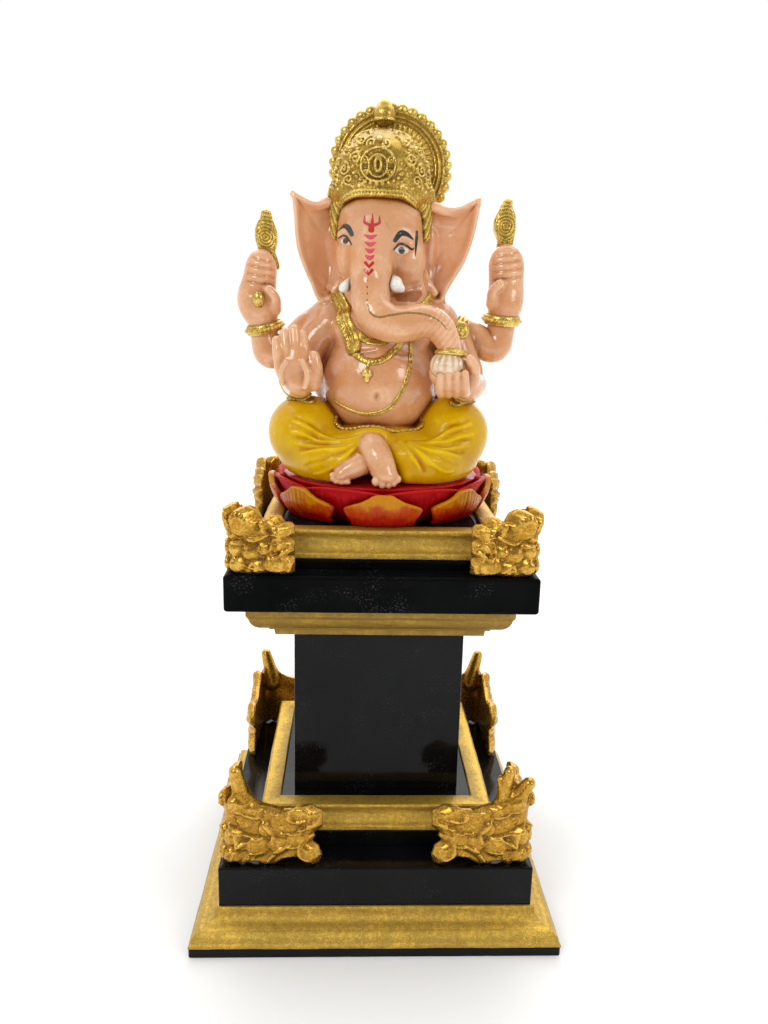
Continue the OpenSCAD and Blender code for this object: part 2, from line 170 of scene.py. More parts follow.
def gold_paint(name, grain_mm, stretch=(1, 1, 1), light=(0.80, 0.56, 0.16), mid=(0.52, 0.315, 0.05),
               dark=(0.13, 0.062, 0.008), roughness=(0.26, 0.5), bump=0.5, metal=(0.35, 0.8), shade_amount=0.55):
    """Bronze paint: metal flakes, with painted shade that turns it brown in the hollows and painted highlight on the
    raised tops.
    """
    n = Nodes(name)
    grain = n.noise(grain_mm, 4, stretch, 0.65)
    cloud = n.noise(14, 3)
    streak = n.noise(2.4, 4, stretch)
    tone = n.math("ADD", n.span(grain, -0.2, 0.2, 0.25, 0.75), n.span(cloud, -0.08, 0.08, 0.3, 0.7))
    tone = n.math("ADD", tone, n.span(streak, -0.1, 0.1, 0.3, 0.7))
    # painted shade and highlight: the colour darkens towards brown in the hollows and lightens on the raised tops
    tone = n.math("SUBTRACT", n.math("ADD", tone, 0.55), n.math("MULTIPLY", n.attribute("cavity_shade"), shade_amount))
    colour = n.ramp(tone, [(0.0, dark), (0.3, tuple(0.6 * c for c in mid)), (0.55, mid), (0.95, light)])
    rough = n.span(grain, roughness[0], roughness[1], 0.3, 0.7)
    normal = n.bump(grain, bump, 0.22)
    normal = n.bump(streak, 0.25, 0.5, normal)
    return n.finish(base_color=colour, metallic=n.span(tone, metal[0], metal[1], 0.1, 0.6),
                    roughness=rough, normal=normal)


def enamel(name, light, main, deep, wash_scale=12, coat=0.6, roughness=(0.12, 0.26), wobble=0.35,
           specks=None, specular=0.5):
    """Glossy brushed enamel, with painted shade darkening the colour in the hollows and painted highlight lightening
    the tops.
    """
    n = Nodes(name)
    cloud = n.noise(wash_scale, 4)
    fine = n.noise(2.2, 3)
    cavity_shade = n.attribute("cavity_shade")
    tone = n.math("ADD", n.span(cloud, -0.16, 0.16, 0.3, 0.7), n.span(fine, -0.05, 0.05, 0.3, 0.7))
    # painted shade in the hollows and painted highlight on the tops: the deep colour where the surface is sunken, the
    # light one where it is raised
    tone = n.math("ADD", n.math("MULTIPLY", cavity_shade, 0.9), n.math("ADD", tone, 0.42))
    colour = n.ramp(tone, [(0.08, light), (0.42, main), (0.95, deep)])
    if specks:
        dots = n.ramp(n.noise(0.9, 1), [(0.74, (0, 0, 0)), (0.78, (1, 1, 1))])
        colour = n.mix(n.math("MULTIPLY", dots, 0.55), colour, specks)
    rough = n.span(n.noise(5, 3), roughness[0], roughness[1], 0.3, 0.7)
    normal = n.bump(n.noise(6, 2), wobble, 0.5)
    normal = n.bump(n.noise(1.3, 3), 0.12, 0.18, normal)
    return n.finish(base_color=colour, roughness=rough, normal=normal, coat_weight=coat,
                    coat_roughness=0.08, specular=specular, ior=1.5)


def black_lacquer(name, specular, dust):
    """Brushed black lacquer with dust nibs and faint wipes."""
    n = Nodes(name)
    nib = n.ramp(n.noise(1.1, 4), [(0.52, (0, 0, 0)), (0.70, (1, 1, 1))])
    patch = n.ramp(n.noise(17, 4), [(0.5, (0, 0, 0)), (0.68, (1, 1, 1))])
    smear = n.math("MULTIPLY", nib, patch)
    wipe = n.noise(7, 5, (0.25, 0.25, 1.6))
    colour = n.ramp(n.noise(30, 4), [(0.25, (0.002, 0.0023, 0.0026)), (0.75, (0.005, 0.0054, 0.0056))])
    colour = n.mix(n.math("MULTIPLY", smear, dust), colour, (0.14, 0.14, 0.13))
    rough = n.math("ADD", n.span(wipe, 0.07, 0.2, 0.3, 0.75), n.math("MULTIPLY", smear, 0.3))
    normal = n.bump(n.noise(16, 2), 0.25, 0.5)
    normal = n.bump(n.noise(1.6, 3), 0.12, 0.15, normal)
    return n.finish(base_color=colour, roughness=rough, normal=normal, specular=specular, ior=1.5)


def flat_enamel(name, colour, dark, roughness=0.2):
    """Small touches of brush paint, slightly uneven."""
    n = Nodes(name)
    tone = n.ramp(n.noise(1.2, 3), [(0.25, dark), (0.7, colour)])
    rough = n.span(n.noise(0.8, 2), roughness * 0.7, roughness * 1.5, 0.3, 0.7)
    return n.finish(base_color=tone, roughness=rough, normal=n.bump(n.noise(0.7, 2), 0.2, 0.1),
                    coat_weight=0.4, coat_roughness=0.1)


def screw_steel():
    n = Nodes("screw_steel")
    brushed = n.noise(0.5, 3, (1, 1, 6))
    return n.finish(base_color=n.ramp(brushed, [(0.3, (0.35, 0.35, 0.36)), (0.7, (0.6, 0.6, 0.6))]),
                    metallic=1.0, roughness=n.span(brushed, 0.25, 0.5, 0.3, 0.7),
                    normal=n.bump(brushed, 0.3, 0.1))


GOLD_MOULDING = gold_paint("gold_moulding", 0.8, light=(1.0, 0.74, 0.20), mid=(0.80, 0.50, 0.07),
                           dark=(0.26, 0.12, 0.008), roughness=(0.24, 0.46), bump=1.4, metal=(0.35, 0.75))
GOLD_CORNICE = gold_paint("gold_cornice", 0.45, light=(0.62, 0.42, 0.09), mid=(0.46, 0.27, 0.035),
                          dark=(0.20, 0.10, 0.008), roughness=(0.28, 0.46), bump=0.8, metal=(0.3, 0.65))
GOLD_LEAF = gold_paint("gold_leaf_casting", 1.2, light=(0.72, 0.42, 0.075), mid=(0.42, 0.21, 0.017),
                       dark=(0.11, 0.037, 0.002), roughness=(0.16, 0.34), bump=0.1, metal=(0.4, 0.8), shade_amount=0.65)
GOLD_TRIM = gold_paint("gold_idol_trim", 0.8, light=(0.88, 0.66, 0.20), mid=(0.47, 0.29, 0.04),
                       dark=(0.11, 0.052, 0.005), roughness=(0.18, 0.4), bump=0.3)
BLACK = black_lacquer("black_lacquer", 0.16, 0.1)
DEEP_BLACK = black_lacquer("dusty_black_lacquer", 0.02, 0.35)
SCREW_STEEL = screw_steel()


# ---------------------------------------------------------------- pieces

def new_piece(name, mesh, material, nodes):
    """Puts a finished mesh in the scene as a piece that stands for CAD nodes."""
    piece = bpy.data.objects.new(name, mesh)
    bpy.context.scene.collection.objects.link(piece)
    mesh.materials.clear()
    mesh.materials.append(material)
    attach(piece, "root")
    if nodes:
        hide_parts(*nodes)
    return piece


def keep_node(node, material):
    """A CAD node whose shape is right keeps it and takes a better material."""
    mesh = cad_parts[node].data
    mesh.materials.clear()
    mesh.materials.append(material)


def board(name, steps, bevel_mm, material=BLACK):
    """Square black boards stacked as one turned-edge block: steps are (half width, z0, z1)."""
    bm = bmesh.new()
    for half, z0, z1 in steps:
        verts = bmesh.ops.create_cube(bm, size=1)["verts"]
        bmesh.ops.scale(bm, vec=(2 * half * MM, 2 * half * MM, (z1 - z0) * MM), verts=verts)
        bmesh.ops.translate(bm, vec=(0, 0, (z0 + z1) / 2 * MM), verts=verts)
    bmesh.ops.bevel(bm, geom=bm.edges[:], offset=bevel_mm * MM, segments=4, profile=0.5,
                    affect="EDGES")
    mesh = bpy.data.meshes.new(name)
    bm.to_mesh(mesh)
    bm.free()
    mesh.shade_smooth()
    piece = new_piece(name + "_board", mesh, material, [name])
    weighted = piece.modifiers.new("normals", "WEIGHTED_NORMAL")
    weighted.keep_sharp = True
    return piece


def arc(cx, cz, r, start, end, steps=10):
    turn = np.radians(np.linspace(start, end, steps + 1))
    return [(cx + r * math.cos(t), cz + r * math.sin(t)) for t in turn]


def soften(points, radius, steps=4):
    """Rounds the corners of an open outline with short arcs."""
    points = [np.array(p, float) for p in points]
    out = [points[0]]
    for before, here, after in zip(points, points[1:], points[2:]):
        a, b = before - here, after - here
        la, lb = np.linalg.norm(a), np.linalg.norm(b)
        reach = min(radius, 0.45 * la, 0.45 * lb)
        for t in np.linspace(0, 1, steps + 1):
            start, end = here + a / la * reach, here + b / lb * reach
            out.append((1 - t) ** 2 * start + 2 * t * (1 - t) * here + t ** 2 * end)
    return out + [points[-1]]


def mitred_strip(name, outline, quarter, seed, material=GOLD_MOULDING):
    """A gold moulding strip: its outline (distance out, height) swept between two mitres."""
    outline = np.array(soften(outline, 0.5))
    count, along = len(outline), 48
    wave = np.random.default_rng(seed)
    phase = wave.uniform(0, 6.28, 4)
    verts = []
    for s in np.linspace(-1, 1, along + 1):
        for out, z in outline:
            x = s * out
            wobble = 0.09 * math.sin(x / 9 + phase[0] + z) + 0.05 * math.sin(x / 3.1 + phase[1] + 2 * z)
            wobble *= 1 - abs(s) ** 6
            verts.append((x, -(out - 0.12 + wobble), z))
    ends = (0, along * count)
    faces = []
    for i in range(along):
        for j in range(count):
            a, b = i * count + j, i * count + (j + 1) % count
            faces.append((a, b, b + count, a + count))
    faces.append(tuple(ends[0] + j for j in range(count))[::-1])
    faces.append(tuple(ends[1] + j for j in range(count)))
    turn = Matrix.Rotation(math.pi / 2 * quarter, 3, "Z")
    mesh = bpy.data.meshes.new(name)
    mesh.from_pydata([turn @ (Vector(v) * MM) for v in verts], [], faces)
    bm = bmesh.new()
    bm.from_mesh(mesh)
    bmesh.ops.recalc_face_normals(bm, faces=bm.faces)
    bm.to_mesh(mesh)
    bm.free()
    mesh.shade_smooth()
    cavity_shade = mesh.attributes.new("cavity_shade", "FLOAT", "POINT")
    # painted shade: concave parts of the profile are darkened, and the proud lips are lightened as painted highlight
    shade_amount = []
    for j, (out, z) in enumerate(outline):
        before, after = outline[j - 1], outline[(j + 1) % count]
        shade_amount.append(np.clip(0.35 - 0.12 * (out - (before[0] + after[0]) / 2), -0.1, 0.6))
    cavity_shade.data.foreach_set("value", np.tile(np.array(shade_amount, np.float32), along + 1))
    piece = new_piece(name + "_strip", mesh, material, [name])
    piece.modifiers.new("edges", "EDGE_SPLIT").split_angle = math.radians(50)
    return piece


def base_outline():
    o, i, z, h = BASE_W, BLOCK_W, BOARD_TOP, 15.7
    return ([(i, z), (o, z), (o, z + 1.8), (o - 1.2, z + 2.5)] + arc(o - 6.3, z + 2.6, 5, 5, 78)
            + arc(i + 6.2, z + h - 2.6, 4.6, 262, 190) + [(i + 1.6, z + h - 1.5), (i + 1.4, z + h), (i, z + h)])


def frame_outline(z):
    o, i, h = RISER_W, CORE_W, 15
    return ([(i, z), (o, z), (o, z + 2.7), (o - 1.1, z + 3.3)] + arc(o + 1.4, z + 8.2, 5.6, 235, 128)
            + arc(o - 2.8, z + h - 1.2, 1.2, 0, 90, 4)
            + [(i + 0.6, z + h), (i, z + h - 0.8)])


def cornice_outline():
    i, z = COLUMN_W, CORNICE_Z
    return ([(i, z), (i + 9.4, z), (i + 10, z + 3.4), (i + 12.4, z + 4.2), (i + 12.4, z + 5.6)]
            + arc(i + 13, z + 15.2, 9.4, 270, 350) + [(i + 23.5, z + 15.4), (i + 23.5, SLAB_Z), (i, SLAB_Z)])


def pedestal():
    for number, side in enumerate(QUARTERS):
        mitred_strip("base_moulding_" + side, base_outline(), number, 20 + number)
        mitred_strip("lower_frame_" + side, frame_outline(LOWER_FRAME_Z), number, 30 + number)
        mitred_strip("cornice_" + side, cornice_outline(), number, 40 + number, GOLD_CORNICE)
        mitred_strip("upper_frame_" + side, frame_outline(UPPER_FRAME_Z), number, 50 + number)
    board("lower_block", [(BLOCK_W, BOARD_TOP, BLOCK_TOP)], 1.1)
    board("lower_riser", [(RISER_W, BLOCK_TOP, LOWER_FRAME_Z), (CORE_W, LOWER_FRAME_Z - 1, LOWER_FRAME_TOP - 1)], 0.5)
    board("column", [(COLUMN_W, LOWER_FRAME_TOP - 1, SLAB_Z)], 0.9)
    board("upper_slab", [(SLAB_W, SLAB_Z, SLAB_TOP)], 1.8, DEEP_BLACK)
    board("upper_riser", [(RISER_W, SLAB_TOP, UPPER_FRAME_Z), (CORE_W, UPPER_FRAME_Z - 1, UPPER_FRAME_TOP)], 0.5,
          DEEP_BLACK)
    keep_node("base_board", BLACK)
    keep_node("column_screws", SCREW_STEEL)
    keep_node("base_screws", SCREW_STEEL)


# ---------------------------------------------------------------- sculpting

STEP = 0.5


def smooth_min(a, b, k):
    if k <= 0:
        return np.minimum(a, b)
    h = np.clip(k - np.abs(a - b), 0, None)
    return np.minimum(a, b) - h * h / (4 * k)


def smooth_max(a, b, k):
    return -smooth_min(-a, -b, k)


def swell(value, centre, width):
    """A bell that is 1 at the centre and fades to 0 over the width."""
    return np.exp(-((value - centre) / width) ** 2)


def ease(value, low, high):
    t = np.clip((value - low) / (high - low), 0, 1)
    return t * t * (3 - 2 * t)


class Form:
    """A shape made of parts: each has the box it fills and its signed distance."""

    def __init__(self, parts):
        self.parts = parts
        self.low = np.min([p[0] for p in parts], 0)
        self.high = np.max([p[1] for p in parts], 0)

    def __add__(self, other):
        return Form(self.parts + other.parts)


def ellipsoid(centre, radii, turn=(0, 0, 0)):
    centre, radii = np.array(centre, float), np.array(radii, float)
    m = np.array(Euler([math.radians(a) for a in turn]).to_matrix())
    reach = np.sqrt(((m * radii) ** 2).sum(1))

    def distance(x, y, z):
        p = (x - centre[0], y - centre[1], z - centre[2])
        q = [(m[0, i] * p[0] + m[1, i] * p[1] + m[2, i] * p[2]) / radii[i] for i in range(3)]
        near = np.sqrt(q[0] ** 2 + q[1] ** 2 + q[2] ** 2) + 1e-5
        slope = np.sqrt(sum((q[i] / radii[i]) ** 2 for i in range(3))) + 1e-6
        return near * (near - 1) / slope
    return Form([(centre - reach, centre + reach, distance)])


def curve(points, fine, closed=False):
    """Extra points on a smooth curve through the given ones."""
    p = np.array(points, float)
    p = np.vstack([p[-1:], p, p[:2]]) if closed else np.vstack([2 * p[0] - p[1], p, 2 * p[-1] - p[-2]])
    out = []
    for a, b, c, d in zip(p, p[1:], p[2:], p[3:]):
        for t in np.arange(fine) / fine:
            out.append(0.5 * (2 * b + (c - a) * t + (2 * a - 5 * b + 4 * c - d) * t ** 2
                              + (3 * b - a - 3 * c + d) * t ** 3))
    return np.array(out + [p[-2]])


def segment(a, b):
    along = b[:3] - a[:3]
    length = max(float(along @ along), 1e-6)

    def distance(x, y, z):
        px, py, pz = x - a[0], y - a[1], z - a[2]
        t = np.clip((px * along[0] + py * along[1] + pz * along[2]) / length, 0, 1)
        gap = np.sqrt((px - t * along[0]) ** 2 + (py - t * along[1]) ** 2 + (pz - t * along[2]) ** 2)
        return gap - (a[3] + t * (b[3] - a[3]))
    radius = max(a[3], b[3])
    return np.minimum(a[:3], b[:3]) - radius, np.maximum(a[:3], b[:3]) + radius, distance


def limb(points, fine=5, closed=False):
    """A round bar through (x, y, z, radius) points."""
    p = curve(points, fine, closed)
    return Form([segment(a, b) for a, b in zip(p, p[1:])])


def beads(points, radius, gap):
    """Balls strung along points at an even spacing."""
    p = curve(np.array(points, float)[:, :3], 8)
    lengths = np.concatenate([[0], np.cumsum(np.linalg.norm(np.diff(p, axis=0), axis=1))])
    spots = np.linspace(0, lengths[-1], max(2, int(lengths[-1] / gap)))
    centres = np.stack([np.interp(spots, lengths, p[:, i]) for i in range(3)], 1)
    return Form(sum((ellipsoid(c, (radius,) * 3).parts for c in centres), []))


def ring(centre, radius, wire, tilt=(0, 0, 0), flat=1.0, count=20):
    turn = np.linspace(0, 2 * math.pi, count, endpoint=False)
    p = np.stack([radius * np.cos(turn), flat * radius * np.sin(turn), 0 * turn], 1)
    p = p @ np.array(Euler([math.radians(a) for a in tilt]).to_matrix()).T + centre
    return limb(np.hstack([p, np.full((count, 1), wire)]), 3, True)


class Clay:
    """A block of signed distances; all blocks of one step share one lattice."""

    def __init__(self, low, high, step=STEP, margin=4.0):
        self.step = step
        self.start = np.floor((np.array(low, float) - margin) / step).astype(int)
        self.count = np.ceil((np.array(high, float) + margin) / step).astype(int) + 1 - self.start
        self.d = np.full(self.count, FAR, np.float32)

    @classmethod
    def around(cls, form, step=STEP, margin=4.0):
        clay = cls(form.low, form.high, step, margin)
        clay.add(form)
        return clay

    def window(self, low, high):
        a = np.clip(np.floor(np.array(low) / self.step).astype(int) - self.start, 0, self.count)
        b = np.clip(np.ceil(np.array(high) / self.step).astype(int) + 1 - self.start, 0, self.count)
        b = np.maximum(a, b)
        places = [((self.start[i] + np.arange(a[i], b[i])) * self.step).astype(np.float32)
                  for i in range(3)]
        where = tuple(slice(i, j) for i, j in zip(a, b))
        return where, (places[0][:, None, None], places[1][None, :, None], places[2][None, None, :])

    def places(self):
        return self.window(self.start * self.step, (self.start + self.count) * self.step)[1]

    def form_field(self, form, reach):
        where, _ = self.window(form.low - reach, form.high + reach)
        d = np.full(self.d[where].shape, FAR, np.float32)
        for low, high, distance in form.parts:
            sub, xyz = self.window(low - reach, high + reach)
            local = tuple(slice(s.start - w.start, s.stop - w.start) for s, w in zip(sub, where))
            if d[local].size:
                d[local] = np.minimum(d[local], distance(*xyz))
        return where, d

    def add(self, form, k=0.0):
        where, d = self.form_field(form, k + 5)
        self.d[where] = smooth_min(self.d[where], d, k)
        return self

    def cut(self, form, k=0.0):
        where, d = self.form_field(form, k + 5)
        self.d[where] = smooth_max(self.d[where], -d, k)
        return self

    def emboss(self, low, high, height):
        """Raises the surface inside a box by height(x, y, z)."""
        where, xyz = self.window(low, high)
        self.d[where] -= height(*xyz).astype(np.float32)
        return self

    def trim(self, field, k=0.0):
        """Keeps only what lies where field(x, y, z) is negative."""
        self.d = smooth_max(self.d, field(*self.places()).astype(np.float32), k)
        return self

    def seen_by(self, other):
        """This block's distances on the other block's points."""
        out = np.full(other.count, FAR, np.float32)
        low = np.maximum(self.start, other.start)
        high = np.minimum(self.start + self.count, other.start + other.count)
        if np.all(high > low):
            ours = tuple(slice(a - s, b - s) for a, b, s in zip(low, high, self.start))
            theirs = tuple(slice(a - s, b - s) for a, b, s in zip(low, high, other.start))
            out[theirs] = self.d[ours]
        return out

    def copy(self):
        twin = Clay.__new__(Clay)
        twin.step, twin.start, twin.count, twin.d = self.step, self.start, self.count, self.d.copy()
        return twin

    def sample(self, points, field=None):
        """Trilinear values at points."""
        field = self.d if field is None else field
        p = np.clip(points / self.step - self.start, 0, self.count - 1.001)
        i = p.astype(int)
        f = p - i
        out = 0
        for corner in range(8):
            o = np.array([(corner >> s) & 1 for s in range(3)])
            weight = np.prod(np.where(o, f, 1 - f), axis=1)
            j = i + o
            out = out + weight * field[j[:, 0], j[:, 1], j[:, 2]]
        return out

    def blurred(self, radius, field):
        out = np.clip(field, -4, 4)
        n = max(1, int(round(radius / self.step)))
        for axis in range(3):
            padded = np.concatenate([np.repeat(out.take([0], axis), n + 1, axis), out,
                                     np.repeat(out.take([-1], axis), n, axis)], axis)
            total = np.cumsum(padded, axis, dtype=np.float32)
            size = 2 * n + 1
            out = (total.take(range(size, total.shape[axis]), axis)
                   - total.take(range(0, total.shape[axis] - size), axis)) / size
        return out

    def sculpt(self, name, material, nodes, slot, around=None):
        """Meshes the block as a piece, with how sunken each point is, and how close it lies to nearby parts, as an
        attribute that the materials turn into painted shade and painted highlight.
        """
        d = self.d.copy()
        for axis in range(3):
            for end in (0, -1):
                edge = [slice(None)] * 3
                edge[axis] = end
                d[tuple(edge)] = FAR
        grid = vdb.FloatGrid(FAR)
        grid.copyFromArray(d, tolerance=0)
        points, quads = grid.convertToQuads(0.0)
        points = (np.array(points, float) + self.start) * self.step
        # painted shade: nearby parts count too, so surfaces next to them are darkened as if shaded by them
        field = self.d if around is None else np.minimum(self.d, around)
        cavity_shade = -(self.sample(points, self.blurred(1.2, field)) / 0.45
                   + self.sample(points, self.blurred(3.4, field)) / 1.6) / 2
        mesh = bpy.data.meshes.new(name)
        mesh.vertices.add(len(points))
        mesh.vertices.foreach_set("co", ((points + [0, 0, SEAT_Z]) * MM).astype(np.float32).ravel())
        mesh.loops.add(quads.size)
        mesh.loops.foreach_set("vertex_index", np.array(quads, np.int32)[:, ::-1].ravel())
        mesh.polygons.add(len(quads))
        mesh.polygons.foreach_set("loop_start", np.arange(0, quads.size, 4, dtype=np.int32))
        mesh.update()
        a, b, c = (points[quads[:, i]] for i in (0, 1, 2))
        if np.einsum("ij,ij->", a, np.cross(b, c)) > 0:
            mesh.flip_normals()
        mesh.validate()
        store = mesh.attributes.new("cavity_shade", "FLOAT", "POINT")
        store.data.foreach_set("value", np.clip(cavity_shade, -0.4, 1.2).astype(np.float32))
        mesh.shade_smooth()
        return new_piece(name, mesh, material, nodes)


def settle(points, clay, lift=0.0):
    """Moves (x, y, z, radius) points onto a block's surface, raised by lift."""
    p = np.array(points, float)
    for _ in range(14):
        here = clay.sample(p[:, :3])
        slope = np.stack([(clay.sample(p[:, :3] + e) - clay.sample(p[:, :3] - e)) / 1.6
                          for e in 0.8 * np.eye(3)], 1)
        slope /= np.maximum(np.linalg.norm(slope, axis=1, keepdims=True), 0.2)
        p[:, :3] -= np.clip(here - lift, -3, 3)[:, None] * slope
    return p


SINK = 0.12


def joined(own, *neighbours):
    """Fillets a block into its neighbours, so that the painted joins have no gap."""
    out, reach = own.copy(), 0.0
    for other, k in neighbours:
        out.d = smooth_min(out.d - SINK, other.seen_by(own), k) + SINK
        reach = max(reach, k)
    out.d = np.maximum(out.d, own.d - reach - 1.6)
    return out


def everything_near(own, others):
    field = np.full(own.count, FAR, np.float32)
    for other in others:
        if other is not own:
            field = np.minimum(field, other.seen_by(own))
    return field


# ---------------------------------------------------------------- the idol

SKIN = enamel("skin_enamel", (0.82, 0.46, 0.25), (0.68, 0.32, 0.14), (0.28, 0.075, 0.012), 16, wobble=0.8,
              specks=(0.3, 0.13, 0.05))
EAR_SKIN = enamel("ear_enamel", (0.86, 0.50, 0.29), (0.79, 0.39, 0.19), (0.50, 0.14, 0.03), 14, wobble=0.8)
YELLOW = enamel("yellow_enamel", (0.80, 0.52, 0.001), (0.67, 0.38, 0.0), (0.42, 0.13, 0.0), 13,
                coat=0.07, wobble=0.7, specular=0.2)
RED = enamel("red_enamel", (0.52, 0.008, 0.010), (0.36, 0.003, 0.005), (0.14, 0.001, 0.002), 12, coat=0.0,
             roughness=(0.2, 0.38), specular=0.12)
WHITE = enamel("white_enamel", (0.86, 0.86, 0.80), (0.74, 0.74, 0.66), (0.40, 0.34, 0.22), 4)
SWEET = enamel("sweet_enamel", (0.86, 0.70, 0.50), (0.74, 0.50, 0.30), (0.34, 0.16, 0.05), 3)
EYE_BLACK = flat_enamel("eye_black", (0.012, 0.011, 0.012), (0.005, 0.005, 0.005))
EYE_BROWN = flat_enamel("eye_brown", (0.11, 0.045, 0.02), (0.05, 0.02, 0.01))
EYE_WHITE = flat_enamel("eye_white", (0.78, 0.74, 0.66), (0.62, 0.55, 0.45))
MARK_RED = flat_enamel("mark_red", (0.55, 0.015, 0.012), (0.36, 0.008, 0.008))
MARK_PINK = flat_enamel("mark_pink", (0.72, 0.09, 0.13), (0.56, 0.04, 0.07))
# painted shadow: dark orange-brown colour for the shaded mouth recess under the cheek
MOUTH_SHADOW = flat_enamel("mouth_shadow", (0.46, 0.15, 0.025), (0.34, 0.10, 0.013), 0.4)
MARK_BROWN = flat_enamel("mark_brown", (0.36, 0.20, 0.04), (0.2, 0.1, 0.02))


def head_clay():
    c = Clay((-38, -34, 96), (32, 20, 162))
    c.add(ellipsoid((-3, -2, 133), (23.5, 19, 25)))
    c.add(ellipsoid((-3.5, -9, 139), (20, 13, 16)), 5)
    c.add(ellipsoid((-17, -10, 118), (10, 11, 14)), 7)
    c.add(ellipsoid((11, -11, 117), (11, 11, 14)), 7)
    c.add(ellipsoid((-3, -4, 107), (15, 12, 11)), 6)
    c.add(ellipsoid((13, -8, 103), (9, 9, 8)), 5)
    # brows, eye sockets and the balls of the eyes
    c.add(limb([(-24, -14, 129.5, 2), (-19.5, -18, 131.5, 2.4), (-14.5, -20, 130, 2)]), 3)
    c.add(limb([(2.5, -21.5, 127.5, 2), (8, -20.5, 130, 2.5), (14, -16.5, 128.5, 2)]), 3)
    c.cut(ellipsoid((-20.5, -21.5, 125.5), (4.5, 3.2, 2.8)), 2.5)
    c.cut(ellipsoid((8.5, -24, 122), (5, 3.2, 3)), 2.5)
    c.add(ellipsoid((-20, -16, 125.3), (3.6, 3.2, 2.7)), 1.2)
    c.add(ellipsoid((8.2, -18.5, 121.9), (4.2, 3.4, 3)), 1.2)
    # the mouth corner beside the trunk, under the cheek
    c.cut(limb([(3, -26, 101, 2.5), (10, -23, 99.5, 4.2), (18, -17, 102, 3.6)]), 3)
    c.add(limb([(4, -17, 95, 3), (11, -17, 95, 3.6), (17, -12, 97.5, 3)]), 2.5)
    c.cut(ellipsoid((-17.5, -21.5, 111), (0.9, 1.5, 0.9)), 0.8)
    return c


TRUNK_PATH = [(-6.5, -14, 134, 12.5), (-7.5, -20, 124, 12.3), (-8, -26, 114, 11.4), (-8.2, -32, 104, 10.8),
              (-8, -37, 95.5, 10.4), (-5.5, -41, 88.5, 10.1), (1.5, -43, 84.3, 9.6), (9, -43.5, 84, 9.2),
              (17, -43.5, 85.6, 8.8), (23.5, -43, 84.8, 8.2), (28.6, -42, 81, 7.4), (32, -41, 76, 6.6), (33.6, -40.5, 72.5, 6)]


def trunk_clay():
    c = Clay((-24, -56, 62), (46, 4, 150))
    c.add(limb(TRUNK_PATH))
    # a raised bridge down the front and soft rolls where the trunk bends
    c.add(limb([(-8.3, -25, 132, 3.5), (-8.8, -33, 121, 4), (-9, -37.5, 110, 4.5)]), 6)
    c.emboss((10, -56, 62), (42, -30, 98), lambda x, y, z: -0.22 * np.clip(np.sin((x - 0.7 * (z - 84)) * 1.9), 0, 1) ** 2
             * ease(x - 0.7 * (z - 84), 13, 20) * ease(-y, 40, 46))
    return c


def torso_clay():
    c = Clay((-42, -42, 22), (44, 24, 112))
    c.add(ellipsoid((-2, -9, 51.5), (31.5, 27, 30.5)))
    c.add(ellipsoid((-1, -1, 78), (29, 17.5, 20)), 9)
    c.add(ellipsoid((-1, 4, 56), (40, 14, 33)), 6)
    c.add(limb([(-29, 2, 88, 10.2), (0, 2, 92, 12), (30, 2, 88, 10.2)]), 6)
    c.add(ellipsoid((-2, 0, 102), (14, 12, 13)), 4)
    c.add(ellipsoid((11, -5, 97), (14, 11, 10)), 4)
    c.add(ellipsoid((-14, -4, 97), (12, 11, 10)), 4)
    c.add(ellipsoid((-15, -14, 80), (12.5, 8, 10)), 4)
    c.add(ellipsoid((14, -14, 79), (12.5, 8, 10)), 4)
    c.cut(limb([(-30, -20, 74, 1.2), (-22, -25.5, 69.5, 1.3), (-12, -29, 69, 1.0), (-5, -30.5, 70, 0.4)]), 3)
    c.cut(limb([(28, -20, 73, 1.2), (20, -25.5, 68.5, 1.3), (11, -29.5, 68, 0.8), (5, -31, 69, 0.4)]), 3)
    c.cut(ellipsoid((-4, -36.8, 46), (1.5, 2.4, 1.9)), 1.8)
    return c


LEFT_EAR = [(-22, 148.5), (-31, 148.6), (-37, 146.8), (-43.5, 148.6), (-50.7, 152.6), (-50.4, 147), (-49.6, 139),
            (-49.2, 131), (-48, 122), (-44.6, 112.4), (-40.4, 103.4), (-37, 96), (-31, 95), (-24, 101), (-19, 112), (-18, 134)]
RIGHT_EAR = [(19, 148), (26, 147.6), (33, 145.6), (41, 146.8), (50.4, 151.6), (50.4, 145), (49.6, 138), (48.2, 130.4),
             (44.4, 118), (38.6, 108), (34.4, 100.6), (32.4, 95.6), (26, 95.6), (19, 103), (16.5, 116), (16, 136)]


